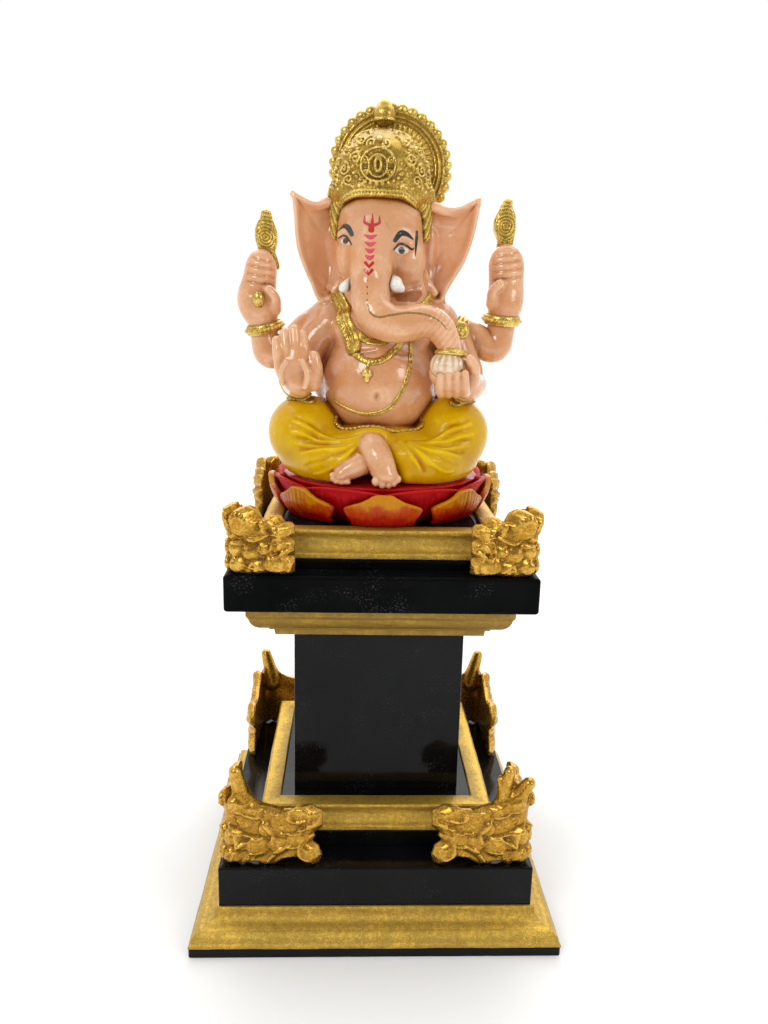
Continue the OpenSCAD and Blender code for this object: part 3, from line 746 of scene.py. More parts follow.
def ear_clay(s):
    """A big fan of an ear: a dished plate with a rolled rim, an upper fold and two creases."""
    rim = LEFT_EAR if s < 0 else RIGHT_EAR
    outline = curve([(x, z, 0, 0) for x, z in rim], 3, True)[:, :2]
    c = Clay((min(outline[:, 0]), -14, 92), (max(outline[:, 0]), 12, 153))
    x, y, z = c.places()
    u, w = x[:, 0, :], z[:, 0, :]
    edge = polygon_field(outline, u + 0 * w, w + 0 * u)[1][:, None, :]
    reach = s * x
    dish = 1 - np.exp(-(np.minimum(edge, 0) / 8.5) ** 2)
    upper, lower = swell(z, 149, 9), ease(z, 118, 98)
    middle = (2.4 + 6.0 * dish - 0.16 * (reach - 20) - 3.8 * upper * ease(reach, 18, 30) - 2.5 * lower
              + 1.5 * np.sin(z / 8.5 + 1) + 3.0 * swell(reach, 32, 10) * swell(z, 139.5, 5.5))
    roll = swell(edge, -1.6, 1.6)
    front = y - (middle - 1.7 - 1.8 * roll - 2.3 * swell(reach, 26, 3) * swell(z, 126, 17)
                 - 0.7 * np.sin((z - 0.75 * reach) / 1.15) * swell(z - 0.75 * reach, 76, 7) * ease(reach, 40, 30))
    back = (middle + 2.0 + 0.4 * roll) - y
    c.d = smooth_max(smooth_max(edge + 0 * y, -front, 1.4), -back, 1.4).astype(np.float32)
    # the top edge folds forward over a shadowed hollow, and a small lobe curls in by the cheek
    c.add(limb([(x1, -4.4 + 1.3 * number, z1 - 1.8, 2.7 - 0.35 * number) for number, (x1, z1) in enumerate(rim[1:5])][::-1]
               + [(rim[0][0], -4, rim[0][1] - 1.5, 2.8)]), 2.4)
    c.add(limb([(20 * s, -6, 114, 2.2), (23.5 * s, -4.6, 107, 2.2), (28 * s, -5, 101, 1.8)]), 2.4)
    return c


def polygon_field(outline, u, w):
    """Signed distance to a closed outline of (u, w) points, negative inside."""
    best = np.full(u.shape, 1e6, np.float32)
    inside = np.zeros(u.shape, bool)
    for (x0, y0), (x1, y1) in zip(outline, np.roll(outline, -1, 0)):
        ex, ey = x1 - x0, y1 - y0
        if ex * ex + ey * ey < 1e-9:
            continue
        t = np.clip(((u - x0) * ex + (w - y0) * ey) / (ex * ex + ey * ey), 0, 1)
        best = np.minimum(best, (u - x0 - t * ex) ** 2 + (w - y0 - t * ey) ** 2)
        crosses = (w < y0) != (w < y1)
        side = (u - x0) * ey - (w - y0) * ex
        inside ^= crosses & ((side < 0) == (ey > 0))
    d = np.sqrt(best)
    return inside, np.where(inside, -d, d).astype(np.float32)


def raised_arm_clay(s, rise):
    """A rear arm: out, up and into a fist round an upright handle."""
    c = Clay((24 if s > 0 else -86, -16, 52), (86 if s > 0 else -24, 16, 128 + rise))
    out = 2.2 if s < 0 else 0
    c.add(limb([(30 * s, 4, 86, 10.3), (41 * s, 4.5, 80, 9.8), (51 * s, 4, 73 + rise, 9.2),
                (59.5 * s, 3.4, 68.5 + rise, 8.9), (64.5 * s, 3, 68.5 + rise, 8.6), (66.6 * s, 3, 75 + rise, 7.9),
                (67.4 * s, 3, 83 + rise, 7.9), (68.3 * s, 2, 90 + rise, 8.8)]))
    c.add(ellipsoid(((68.6 + out) * s, 1.5, 97.5 + rise), (11 if s < 0 else 10.2, 8.4, 14), (0, 0, 0)), 4)
    c.add(ellipsoid(((68 + 0.2 * out) * s, 1.2, 112 + rise), (9.0 if s < 0 else 10, 7.6, 12.5), (0, -3 * s, 0)), 5)
    # folded fingers as shallow creases across the front, and the thumb below them
    for number, (wide, deep) in enumerate(((9.4, 0.6), (9.0, 0.4), (8.4, 0.65), (6.8, 0.35))):
        z = 105.4 + rise + 4.3 * number
        c.cut(limb(settle([((67.8 + 0.8 * wide) * s, -4, z + 1.4, 0.2), ((67.8 + 0.4 * wide) * s, -7, z + 0.9, deep),
                           (67.6 * s, -8, z + 0.4, deep), ((67.4 - 0.5 * wide) * s, -7, z - 0.2, 0.8 * deep),
                           ((67.4 - 0.85 * wide) * s, -4, z - 0.9, 0.2)], c, 0.15)), 1.5)
    c.add(limb([(60.5 * s, -2, 92 + rise, 3.4), (60.4 * s, -5.4, 98 + rise, 3.2), (63.4 * s, -7.4, 102.4 + rise, 2.6)]), 2.4)
    c.cut(limb([(63 * s, -9, 97 + rise, 0.7), (67 * s, -10, 99.4 + rise, 1.0), (74 * s, -8, 100 + rise, 0.7)]), 2.4)
    return c


def left_front_arm_clay():
    """The blessing hand: a flat palm to the front with four short fingers up."""
    c = Clay((-66, -46, 38), (-22, 14, 96))
    c.add(limb([(-30, -3, 82, 10.3), (-38, -4.5, 74, 9.8), (-44, -6, 63, 9.3), (-48, -9.5, 57, 9),
                (-48, -18, 53, 8.6), (-46, -25, 51.5, 8.1), (-44.8, -31, 53, 8)]))
    c.add(ellipsoid((-45.2, -34, 60), (12.4, 6.4, 11.6), (0, 4, 0)), 3)
    c.add(ellipsoid((-37.5, -35, 57), (4.4, 5, 9), (0, -6, 0)), 2.5)
    tips = ((-56.6, 73.8, 2.8), (-52.4, 77.8, 3), (-47.6, 79.4, 3), (-43.4, 76.8, 2.9))
    for (x, z, r), root in zip(tips, (-54.6, -50.2, -45.8, -41.6)):
        c.add(limb([(root, -33.5, 60, r + 0.7), (root + 0.55 * (x - root), -35, 68, r + 0.5), (x, -33.4, z, r)]), 1.2)
    c.add(limb([(-37.8, -36, 53, 3.4), (-36.2, -37.2, 60, 3.3), (-36.8, -37, 66.5, 2.7)]), 1.6)
    c.cut(ellipsoid((-46.8, -42.2, 56.5), (6.4, 3.4, 7.4)), 2.4)
    c.cut(limb([(-54.6, -40.2, 64.4, 0.7), (-47.5, -41.4, 66, 0.8), (-40.5, -40.4, 64.4, 0.7)]), 1.4)
    c.cut(limb([(-55.4, -38.6, 70, 0.4), (-47.5, -39.4, 72.4, 0.5), (-41.8, -38.4, 70, 0.4)]), 1.0)
    c.add(limb([(-41.5, -39.6, 50.5, 1.3), (-40.4, -40.4, 57, 1.5), (-42.8, -40, 63.6, 1.1)]), 1.8)
    c.add(limb([(-53.4, -39, 52, 1.0), (-54.2, -39.4, 58, 1.2), (-52, -39.6, 63, 1.0)]), 1.8)
    return c


def right_front_arm_clay():
    """The hand that holds the bowl of sweets, its fingers upright in front."""
    c = Clay((22, -52, 38), (68, 14, 98))
    c.add(limb([(31, -3, 84, 10.3), (39, -5, 75.5, 9.8), (44, -7, 65.5, 9.2), (47.5, -11, 57, 9.0),
                (48, -19, 52.5, 8.8), (45, -28, 52.5, 8.8), (42, -33.5, 56, 9)]))
    c.add(ellipsoid((36.6, -36, 58.5), (13.2, 9.2, 9.6), (0, 6, 0)), 3)
    for number in range(4):
        x = 28.4 + 4.2 * number
        c.add(limb([(x + 1.6, -38.5, 48.6, 2.6), (x + 0.8, -43.4, 50.4, 2.8), (x + 0.2, -46.4, 54.6, 2.6),
                    (x, -47.8, 58.4 + 0.5 * number, 2.0)]), 1.2)
    c.add(limb([(46, -38, 57, 3.8), (46.2, -42.6, 62, 3.3), (43.6, -45, 67, 2.5)]), 1.6)
    c.cut(ellipsoid((33, -41.5, 67), (9, 7.4, 7.6)), 1.0)
    return c


def dhoti_clay():
    c = Clay((-66, -52, 0), (64, 36, 52))
    c.add(ellipsoid((-43, -13, 23.5), (20.6, 24, 20.8), (0, 3, 0)))
    c.add(ellipsoid((39.4, -13, 24), (20.4, 24, 21.6), (0, -3, 0)))
    c.add(ellipsoid((-22, -27, 13.5), (26, 21, 13.5), (0, -6, 0)), 5)
    c.add(ellipsoid((20, -27, 13.5), (25, 21.5, 13.8), (0, 5, 0)), 5)
    c.add(ellipsoid((0, 9, 18), (42, 26, 22)), 8)
    c.add(ellipsoid((-2, -20, 16), (26, 18, 14.5)), 5)
    # the hem lies on the seat under both knees
    c.add(limb([(-47, -16, 8, 8), (-40, -29, 7, 7), (-27, -39, 6, 6.5)]), 4)
    c.add(limb([(46, -14, 8, 8), (40, -28, 7, 7.4), (27, -39, 6, 7), (14, -42, 6, 6)]), 4)
    c.trim(lambda x, y, z: 0.3 - z + 0 * x * y, 1.5)
    c.add(ellipsoid((-8, -36, 23.5), (12, 8, 6), (0, -8, 0)), 4)
    # folds that fan out from the waist knot to the knees: ridges with grooves between them
    for side, x0, z0, knee, foot in ((-1, -7, 29, -57, -20), (1, 7, 30, 56, 18)):
        for number, a in enumerate(np.linspace(0, 0.86, 12)):
            turn = math.radians(28 - 100 * a)
            reach = 47 - 15 * a
            x1, z1 = x0 + side * reach * math.cos(turn), 25 + 25 * math.sin(turn)
            sag = 3.5 + 3 * math.sin(3.1 * a)
            line = [(x0 + (x1 - x0) * t, -46 + 10 * t * t, z0 + (z1 - z0) * t - sag * math.sin(math.pi * t) * (1 - 0.5 * t),
                     0.15 + w) for t, w in ((0.04, 0.2), (0.2, 0.75), (0.42, 0.95), (0.64, 0.8), (0.84, 0.4), (0.98, 0))]
            line = [(x, y, max(z, 2.5), r * (0.75, 1, 0.6)[number % 3]) for x, y, z, r in line]
            if number % 2:
                c.add(limb(settle(line, c, -0.2)), 1.8)
            else:
                # settling can slide a groove's end down to the hem, where it would leave a pit
                line = settle(line, c, 0.45)
                c.cut(limb(line[line[:, 2] > 6.5]), 2.0)
    for z, depth in ((31, 0.8), (28, 1.1), (25.2, 0.8)):
        c.cut(limb(settle([(-12, -44, z + 1, 0.3), (-5, -47, z - 0.4, depth), (3, -47, z, depth), (11, -44, z + 2, 0.3)], c, 0.5)), 1.6)
    c.cut(limb([(-3, -50, 20, 2.4), (0, -51, 10, 3.6)]), 3)
    for side in (-1, 1):
        c.cut(limb(settle([(side * 30, 20, 34, 0.3), (side * 47, 8, 27, 1.3), (side * 50, -2, 14, 0.8)], c, 0.4)), 2.4)
        c.cut(limb(settle([(side * 20, 30, 28, 0.3), (side * 38, 22, 18, 1.3), (side * 48, 6, 8, 0.8)], c, 0.4)), 2.4)
    return c


def front_foot_clay():
    c = Clay((-22, -60, 0), (12, -30, 34))
    c.add(limb([(-9, -34, 20, 7), (-6, -42.5, 20, 7.6), (-3.2, -46.8, 16, 7.7), (-0.4, -49.8, 10.4, 6.9),
                (1.2, -51.2, 7.2, 6)]))
    c.add(ellipsoid((1.4, -51.6, 6), (7.4, 5, 4.6), (0, 18, 0)), 2)
    for number, (x, z, r) in enumerate(((-4, 4.0, 2.2), (-0.6, 2.6, 2.1), (2.6, 2.4, 2.0), (5.4, 3.2, 1.9), (7.6, 5.0, 1.8))):
        c.add(ellipsoid((x, -54.6 + 0.3 * number, z), (r, 2.4, r * 1.2)), 0.6)
    return c


def rear_foot_clay():
    c = Clay((-36, -56, 0), (-2, -32, 24))
    c.add(limb([(-6, -42, 13.5, 6.2), (-11, -44.5, 11.8, 6.4), (-16, -46, 9.4, 5.9), (-21, -47, 7, 4.9)]))
    c.add(ellipsoid((-22, -47.4, 5.6), (4.8, 4.4, 3.6), (0, -20, 0)), 2)
    for number, (x, z, r) in enumerate(((-26.6, 6, 1.5), (-26.2, 4, 1.6), (-24.4, 2.8, 1.7), (-21.6, 2.4, 1.7), (-18.8, 2.6, 1.6))):
        c.add(ellipsoid((x, -49.4 - 0.2 * number, z), (r * 1.15, 2, r)), 0.7)
    return c


def tusks_clay():
    c = Clay((-30, -44, 94), (14, -16, 114))
    c.add(limb([(-16, -22, 107, 2.8), (-19, -28.5, 103.8, 3), (-21.4, -33, 102, 2.9), (-22.6, -35.4, 101.2, 2.1)]))
    c.add(limb([(3, -26, 106.4, 3), (4.8, -33, 104.6, 3.5), (4.8, -36.5, 103, 3.4)]))
    c.add(limb([(5.6, -32, 102.6, 2.5), (7.4, -35.8, 101.8, 2.1)]), 1.2)
    return c


def sweet_clay():
    """A pleated dumpling that fills the hand."""
    c = Clay((22, -54, 52), (46, -28, 78))
    c.add(ellipsoid((32.4, -41.8, 63.4), (9.2, 8.2, 8)))
    c.add(ellipsoid((34, -41, 71), (3, 3, 3.6)), 4)
    for a in range(14):
        turn = math.radians(360 / 14 * a)
        x, y = math.cos(turn), math.sin(turn)
        c.cut(limb([(32.4 + 10 * x, -41.8 + 9 * y, 59, 0.8), (32.4 + 9.4 * x, -41.8 + 8.4 * y, 65, 0.9),
                    (33 + 6.4 * x, -41.6 + 5.8 * y, 70, 0.7), (33.8 + 2.4 * x, -41 + 2.2 * y, 73, 0.3)], 3), 0.9)
    return c


class Relief:
    """A height map in millimetres over a flat (u, w) sheet, drawn with strokes and beads."""

    def __init__(self, low, high, step=0.25):
        self.low, self.step = np.array(low, float), step
        self.count = np.ceil((np.array(high, float) - low) / step).astype(int) + 1
        self.h = np.zeros(self.count, np.float32)

    def stroke(self, points, height, fine=5):
        """A rounded ridge along (u, w, half width) points."""
        p = np.array(points, float)
        p = curve(np.insert(p, 2, 0, axis=1), fine) if fine > 1 else np.insert(p, 2, 0, axis=1)
        for a, b in zip(p, p[1:]):
            r = max(a[3], b[3], 0.05)
            i = np.clip(((np.minimum(a[:2], b[:2]) - r - self.low) / self.step).astype(int), 0, self.count)
            j = np.clip(((np.maximum(a[:2], b[:2]) + r - self.low) / self.step).astype(int) + 2, 0, self.count)
            if np.any(j <= i):
                continue
            u = (self.low[0] + self.step * np.arange(i[0], j[0]))[:, None]
            w = (self.low[1] + self.step * np.arange(i[1], j[1]))[None, :]
            e = b[:2] - a[:2]
            t = np.clip(((u - a[0]) * e[0] + (w - a[1]) * e[1]) / max(e @ e, 1e-9), 0, 1)
            near = np.sqrt((u - a[0] - t * e[0]) ** 2 + (w - a[1] - t * e[1]) ** 2) / (a[3] + t * (b[3] - a[3]) + 1e-6)
            part = self.h[i[0]:j[0], i[1]:j[1]]
            np.maximum(part, height * np.sqrt(np.clip(1 - near ** 2, 0, 1)), out=part)
        return self

    def bead(self, u, w, radius, height):
        return self.stroke([(u, w, radius), (u + 0.01, w, radius)], height, 1)

    def spiral(self, u, w, radius, turns, start, width, height, hand=1):
        t = np.linspace(0, 1, int(14 * turns) + 2)
        a = math.radians(start) + hand * 2 * math.pi * turns * t
        r = radius * (1 - 0.92 * t)
        return self.stroke(np.stack([u + r * np.cos(a), w + r * np.sin(a), width * (1 - 0.35 * t)], 1), height, 1)

    def oval(self, u, w, ru, rw, width, height):
        a = np.linspace(0, 2 * math.pi, 33)
        return self.stroke(np.stack([u + ru * np.cos(a), w + rw * np.sin(a), 0 * a + width], 1), height, 1)

    def both(self, action, *where, **more):
        """Draws the same thing at u and at -u; where starts with u."""
        getattr(self, action)(*where, **more)
        getattr(self, action)(-where[0], *where[1:], **{k: (-v if k == "hand" else v) for k, v in more.items()})
        return self

    def at(self, u, w):
        u, w = np.broadcast_arrays(u, w)
        fu = np.clip((u - self.low[0]) / self.step, 0, self.count[0] - 1.001)
        fw = np.clip((w - self.low[1]) / self.step, 0, self.count[1] - 1.001)
        i, j = fu.astype(int), fw.astype(int)
        fu, fw = fu - i, fw - j
        return ((1 - fu) * (1 - fw) * self.h[i, j] + fu * (1 - fw) * self.h[i + 1, j]
                + (1 - fu) * fw * self.h[i, j + 1] + fu * fw * self.h[i + 1, j + 1]).astype(np.float32)


# the crown, the halo behind it and the raised emblems

def crown_edge(x, y):
    """How high the crown's lower edge is above the seat: an arch over the brow."""
    front = 147.6 - 0.04 * np.clip(np.abs(x + 5) - 9.5, 0, None) ** 2
    return front - 17 * ease(y, -14, 0) - 2 * ease(y, 0, 10)


def crown_relief():
    r = Relief((-48, 122), (48, 190), 0.22)
    middle = -2.8
    # the medallion: two ovals and upright flutes, over a smile of beads
    r.oval(middle, 163.5, 8.6, 8.4, 0.8, 1.5)
    r.oval(middle, 162.8, 4.6, 5.6, 0.7, 1.3)
    r.oval(middle, 163.4, 1.5, 3.4, 1.0, 1.4)
    for side in (-1, 1):
        r.spiral(middle + 6.6 * side, 165.4, 1.9, 1.3, 90, 0.6, 1.3, hand=side)
        r.spiral(middle + 6.2 * side, 159.8, 1.6, 1.2, 270, 0.6, 1.2, hand=-side)
    for a in np.arange(-152, -27, 12):
        t = math.radians(a)
        r.bead(middle + 14 * math.cos(t), 164.5 + 10.6 * math.sin(t), 1.05, 1.4)
    for side in (-1, 1):
        r.spiral(middle + 4.4 * side, 174.4, 2.6, 1.3, 200, 0.8, 1.3, hand=side)
    r.bead(middle, 177, 2.0, 1.6)
    # scrolls and leaves at both sides
    for u, w, size, turns, start in ((14.6, 167, 3.4, 1.6, 200), (21.2, 162, 3.6, 1.7, 90), (17.6, 156.4, 3, 1.5, 300),
                                     (27.5, 157, 3.2, 1.6, 150), (21.5, 171.5, 3, 1.5, 20), (28.5, 166, 3, 1.4, 260),
                                     (34.5, 161, 2.8, 1.5, 70), (13.5, 175.5, 2.4, 1.3, 120), (35, 151, 2.6, 1.4, 0)):
        r.both("spiral", u, w, size, turns, start, 0.7, 1.4, hand=1)
    for number in range(150):
        u, w = rng.uniform(9, 44), rng.uniform(152.5, 184)
        a = rng.uniform(0, 6.28)
        size = rng.uniform(0.7, 1.5)
        for side in (-1, 1):
            r.stroke([(side * u, w, 0.3), (side * (u + size * math.cos(a)), w + size * math.sin(a), 0.6),
                      (side * (u + 1.6 * size * math.cos(a + 0.5)), w + 1.6 * size * math.sin(a + 0.5), 0.3)], 0.95, 3)
    # the side bands that hang in front of the ears
    for u in np.arange(26, 44, 1.9):
        for side in (-1, 1):
            r.stroke([(side * u, 128, 0.6), (side * (u - 0.6), 137, 0.7), (side * (u - 0.3), 146, 0.5)], 0.7)
    return r


def crown_clay():
    c = Clay((-33, -30, 124), (28, 18, 188))
    c.add(ellipsoid((-3, -2.5, 152), (27, 22, 15)))
    c.add(ellipsoid((-2.5, -3, 164), (24.5, 20.5, 18.5)), 5)
    c.add(ellipsoid((-2, 2, 172), (19, 13, 13)), 5)
    for x in (-27, 21.5):
        c.add(limb([(x * 0.96, -6, 152, 4), (x * 0.98, -3, 140, 3.8), (x, -1, 131, 2.6)]), 3)
    c.trim(lambda x, y, z: (crown_edge(x, y) - z) * 0.85, 1.2)
    c.trim(lambda x, y, z: y - 16.5 + 0 * (x + z), 1.0)
    relief = crown_relief()
    where, (x, y, z) = c.window((-36, -34, 120), (31, 17, 190))
    turn = np.arctan2(x + 2.5, -(y - 2)) * 25.0
    lift = z - crown_edge(x, y)
    c.d[where] -= relief.at(turn + 0 * z, z + 0 * turn) * ease(-y, -15, -8) * ease(lift, 2, 5)
    c.d[where] -= (0.8 * swell(lift, 1.3, 0.8) + 0.6 * swell(lift, 3.4, 0.6)
                   + 0.25 * np.sin(turn * 3.6 + lift) * swell(lift, 2.3, 1.6)) * ease(-y, -15, -8)
    return c


def halo_clay():
    cx, cz, front = 2.6, 168.0, 15.6
    c = Clay((-36, 8, 130), (42, 22, 206))
    x, y, z = c.places()
    r = np.sqrt((x - cx) ** 2 + (z - cz) ** 2)
    a = np.arctan2(z - cz, x - cx)
    lobes = 31.6 + 0.5 * np.cos(34 * a)
    rings = (1.0 * swell(r, 29.6, 0.75) + 0.9 * swell(r, 26.9, 0.75) + 0.55 * swell(r, 24.9, 0.5)
             + 0.75 * np.clip(np.cos(46 * a) + 0.25, 0, 1) * ease(r, 13, 15) * ease(r, 24.3, 22.6)
             + 0.7 * swell(r, 12.2, 0.7))
    behind = 0.5 * swell(r, 28.5, 1.0) + 0.4 * swell(r, 20, 1.0)
    dish = 1.6 * ease(r, 29, 16)
    c.d = smooth_max(smooth_max(r - lobes, front + dish - rings - y, 0.7), y - 20.2 - behind, 0.8).astype(np.float32)
    for number in range(34):
        t = 2 * math.pi * (number + 0.5) / 34
        c.add(ellipsoid((cx + 31.5 * math.cos(t), 17.4, cz + 31.5 * math.sin(t)), (3.15, 2.7, 3.15)), 0.3)
    c.add(ellipsoid((-1.4, 14.6, 195.4), (6.3, 5.6, 5.8)), 0.6)
    c.add(ellipsoid((-1.4, 15, 200.2), (3.6, 3.4, 3.3)), 2)
    c.add(ring((-1.4, 14.6, 192.4), 5.6, 0.9), 0.4)
    return c


BLADE = [(-1.4, 17.4), (1.4, 17.4), (2.9, 15.4), (3.2, 12.6), (5.4, 9), (6.4, 3), (5.6, -3), (4.4, -8.5), (4.2, -14), (-3.6, -14),
         (-4.4, -9), (-3.8, -4.5), (-5.8, 0), (-6, 6), (-4, 11.4), (-2.9, 15)]


def emblem_clay(s, rise, lean):
    """A gold blade held upright, with ring relief, and its handle's knob below the fist."""
    cx, cy, cz = (65 if s < 0 else 66) * s, 3.2, (127.8 if s < 0 else 131) + rise
    c = Clay((cx - 12, -12, 84 + rise), (cx + 12, 11, 152 + rise))
    outline = curve([(a, b, 0, 0) for a, b in BLADE], 3, True)[:, :2]
    relief = Relief((-9, -16), (9, 22), 0.2)
    for radius in (1.2, 2.7, 4.2):
        relief.oval(0.2, 2.6, radius, radius * 1.05, 0.5, 0.8)
    relief.bead(0.2, 2.6, 0.7, 0.8)
    for b in np.arange(-12.5, -3, 1.9):
        for a in (-2.6, 0, 2.6):
            relief.bead(a, b, 0.85, 0.65)
    for b in (8.4, 10.2, 12, 14, 16):
        relief.stroke([(-3.6, b - 0.6, 0.45), (0, b + 0.5, 0.55), (4, b - 0.8, 0.45)], 0.7)
    relief.oval(0.2, 2.5, 5.6, 6.2, 0.5, 0.6)
    where, (x, y, z) = c.window((cx - 12, -12, 110 + rise), (cx + 12, 12, 156 + rise))
    v = z - cz
    u = (x - cx) * s - lean * v - 0.006 * v * v * s
    flat = polygon_field(outline, u[:, 0, :], (v + 0 * u)[:, 0, :])[1][:, None, :]
    middle = cy + 0.0035 * v * v
    plate = np.abs(y - middle) - 2.7 - 0.3 * relief.at(u + 0 * v, v + 0 * u)
    c.d[where] = smooth_max(flat + 0 * y, plate - 0.5 * relief.at(u + 0 * v, v + 0 * u) * (y < middle), 1.6)
    c.add(limb([(66.8 * s, 1.5, 100 + rise, 3.2), (cx + 0.5 * (66 * s - cx), 3, 117 + rise, 3.6)]), 1)
    if s < 0:
        c.add(ellipsoid((69 * s, -7.2, 97 + rise), (3.4, 2.8, 4.6), (10, 0, 0)), 0.5)
    return c


def strap(points, width, lift, on, edge=0.5, depth=1.6):
    """A band laid on a surface: near its path and a little proud of it."""
    p = settle(np.hstack([curve(np.hstack([points, np.zeros((len(points), 1))]), 5)[:, :3],
                          np.zeros(((len(points) - 1) * 5 + 1, 1))]), on)
    p[:, 3] = width / 2
    c = Clay.around(Form([segment(a, b) for a, b in zip(p, p[1:])]))
    surface = on.seen_by(c)
    c.d = smooth_max(smooth_max(c.d, surface - lift, edge), -surface - depth, 0.3)
    return c, p


def cord_on(points, radius, lift, on):
    """A thin raised line that follows a surface."""
    p = curve(np.hstack([np.array(points, float), np.zeros((len(points), 1))]), 6)
    p = settle(p, on, lift)
    p[:, 3] = radius
    return p


def jewellery(body, bust, made):
    """Gold trim that lies on the finished body."""
    c = Clay((-80, -12, 66), (80, 16, 100))
    for x, z, tilt in ((-66.8, 82 + LEFT_RISE, (7, -12, 0)), (67.2, 83.4 + RIGHT_RISE, (7, 3, 0))):
        c.add(ring((x, 3, z), 9.3, 1.7, tilt))
        c.add(ring((x, 3, z + 1.9), 9.5, 1.0, tilt), 0.5)
        c.add(ring((x, 3, z - 1.9), 9.1, 0.9, tilt), 0.5)
        for a in np.arange(0, 360, 12):
            t = math.radians(a)
            m = np.array(Euler([math.radians(v) for v in tilt]).to_matrix())
            c.add(ellipsoid(m @ [10.9 * math.cos(t), 10.9 * math.sin(t), 0] + [x, 3, z], (0.75,) * 3), 0.3)
    made["bangles"] = c

    c = Clay((20, -20, 60), (56, 20, 98))
    x, z, tilt = 38.5, 78, (0, -50, 0)
    c.add(ring((x, -3, z), 11.4, 1.5, tilt))
    c.add(ring((x - 1.7, -3, z + 1.9), 11.3, 1.1, tilt), 0.6)
    c.add(ring((x + 1.5, -3, z - 1.9), 11.2, 1.1, tilt), 0.6)
    c.add(ellipsoid((x + 3.4, -13, z + 2.6), (5.4, 2.4, 5), (0, tilt[1], 0)), 1)
    c.add(ellipsoid((x + 3.4, -15.2, z + 2.6), (2.2, 1.2, 2.4)), 0.3)
    c.add(ring((x + 3.4, -14.6, z + 2.6), 3.4, 0.5, (84, 0, 0)), 0.3)
    made["right_armlet"] = c

    band, path = strap([(-20.6, -22, 77), (-17.4, -28, 70.4), (-12.4, -32.5, 66), (-6.8, -34.5, 64.6), (-1, -34.5, 66.2),
                        (5, -31.5, 70.6), (10, -27, 76.6), (12.6, -22, 84), (13, -17, 90)], 4.0, 1.1, bust)
    c = Clay((-26, -46, 50), (20, -6, 96))
    c.d = np.minimum(c.d, band.seen_by(c))
    c.add(beads(settle(path[2:-2], body, 0.7), 0.75, 1.7), 0.2)
    drop = cord_on([(-8.6, -35, 64), (-9.2, -35.6, 61.6), (-9.4, -36, 59.6)], 0.9, 0.4, bust)
    c.add(Form([segment(a, b) for a, b in zip(drop, drop[1:])]), 0.3)
    pendant = settle([(-9.4, -36, 58.4, 0)], body, 1.0)[0, :3]
    c.add(ellipsoid(pendant, (3.1, 2.3, 3)), 0.4)
    c.add(ellipsoid(pendant + [0, -0.3, -3.4], (1.3, 1.1, 2)), 0.9)
    # the gold collar under the trunk
    collar, _ = strap([(-15, -25, 79), (-9, -28, 76.6), (-2, -29, 76.4), (5, -26, 79)], 4.6, 0.9, bust)
    c.d = np.minimum(c.d, collar.seen_by(c))
    made["necklace"] = c

    c = Clay((-34, -46, 34), (26, -10, 96))
    line = [(15.5, -18, 86), (15.8, -24, 78), (15, -29, 68), (12.8, -33, 58), (9.6, -35, 49), (4.6, -36, 40.5),
            (-2.6, -36, 36), (-11.5, -34, 35), (-20, -30, 38), (-27, -23, 43)]
    for offset in (-0.75, 0.75):
        p = cord_on([(x + 0.8 * offset, y, z - 0.8 * offset) for x, y, z in line], 0.62, 0.25, bust)
        c.add(Form([segment(a, b) for a, b in zip(p, p[1:])]), 0.2)
    made["sacred_thread"] = c

    # the shawl: a lapel at the left of the chest, over the shoulders and down both sides
    c = Clay((-66, -30, 26), (66, 24, 106))
    lapel, path = strap([(-22.5, 2, 102), (-25.6, -8, 98), (-25, -16, 91.5), (-22.6, -21, 85), (-19.8, -25, 78.5),
                         (-17.8, -27, 73)], 9.2, 1.6, bust)
    c.d = np.minimum(c.d, lapel.seen_by(c))
    right, path_r = strap([(20, 2, 102), (22, -8, 97), (20.5, -15, 92), (17, -20, 86)], 5.4, 1.4, bust)
    c.d = np.minimum(c.d, right.seen_by(c))
    for points in ([(-24, 10, 100), (-12, 14, 100), (0, 15, 99), (12, 14, 100), (24, 10, 100)],
                   [(-26, 10, 98), (-38, 12, 88), (-49, 6, 72), (-54, -2, 58), (-54.6, -10, 50), (-49, -17, 43), (-41, -22, 41)],
                   [(26, 10, 98), (38, 12, 88), (47, 6, 74), (51.6, -2, 62), (51, -10, 52), (46, -18, 45), (40, -24, 42)]):
        side, edge_path = strap(points, 8.5, 1.3, body)
        c.d = smooth_min(c.d, side.seen_by(c), 0.6)
        c.add(beads(settle(edge_path[1:-1] + [0, -1.2, 0, 0], body, 1.2), 0.85, 2.1), 0.3)
    c.add(beads(settle(path[1:] + [-2.3, -0.6, -1.2, 0], bust, 1.5), 0.95, 1.9), 0.3)
    for offset in (-1, 0.9):
        p = settle(path[1:] + [offset, 0, offset * 0.5, 0], bust, 1.6)
        p[:, 3] = 0.45
        c.add(Form([segment(a, b) for a, b in zip(p, p[1:])]), 0.3)
    made["shawl"] = c

    c = Clay((-40, -50, 22), (38, 26, 48))
    turn = np.radians(np.arange(0, 361, 10))
    line = np.stack([-2 + 31 * np.cos(turn), -8 + 27 * np.sin(turn), 36 - 5.5 * (np.sin(turn) < 0) + 0 * turn,
                     0 * turn], 1)
    p = settle(line, body, 0.2)
    p[:, 3] = 0.9
    c.add(Form([segment(a, b) for a, b in zip(p, p[1:])]))
    c.add(beads(p, 1.25, 2.6), 0.3)
    made["waist_chain"] = c


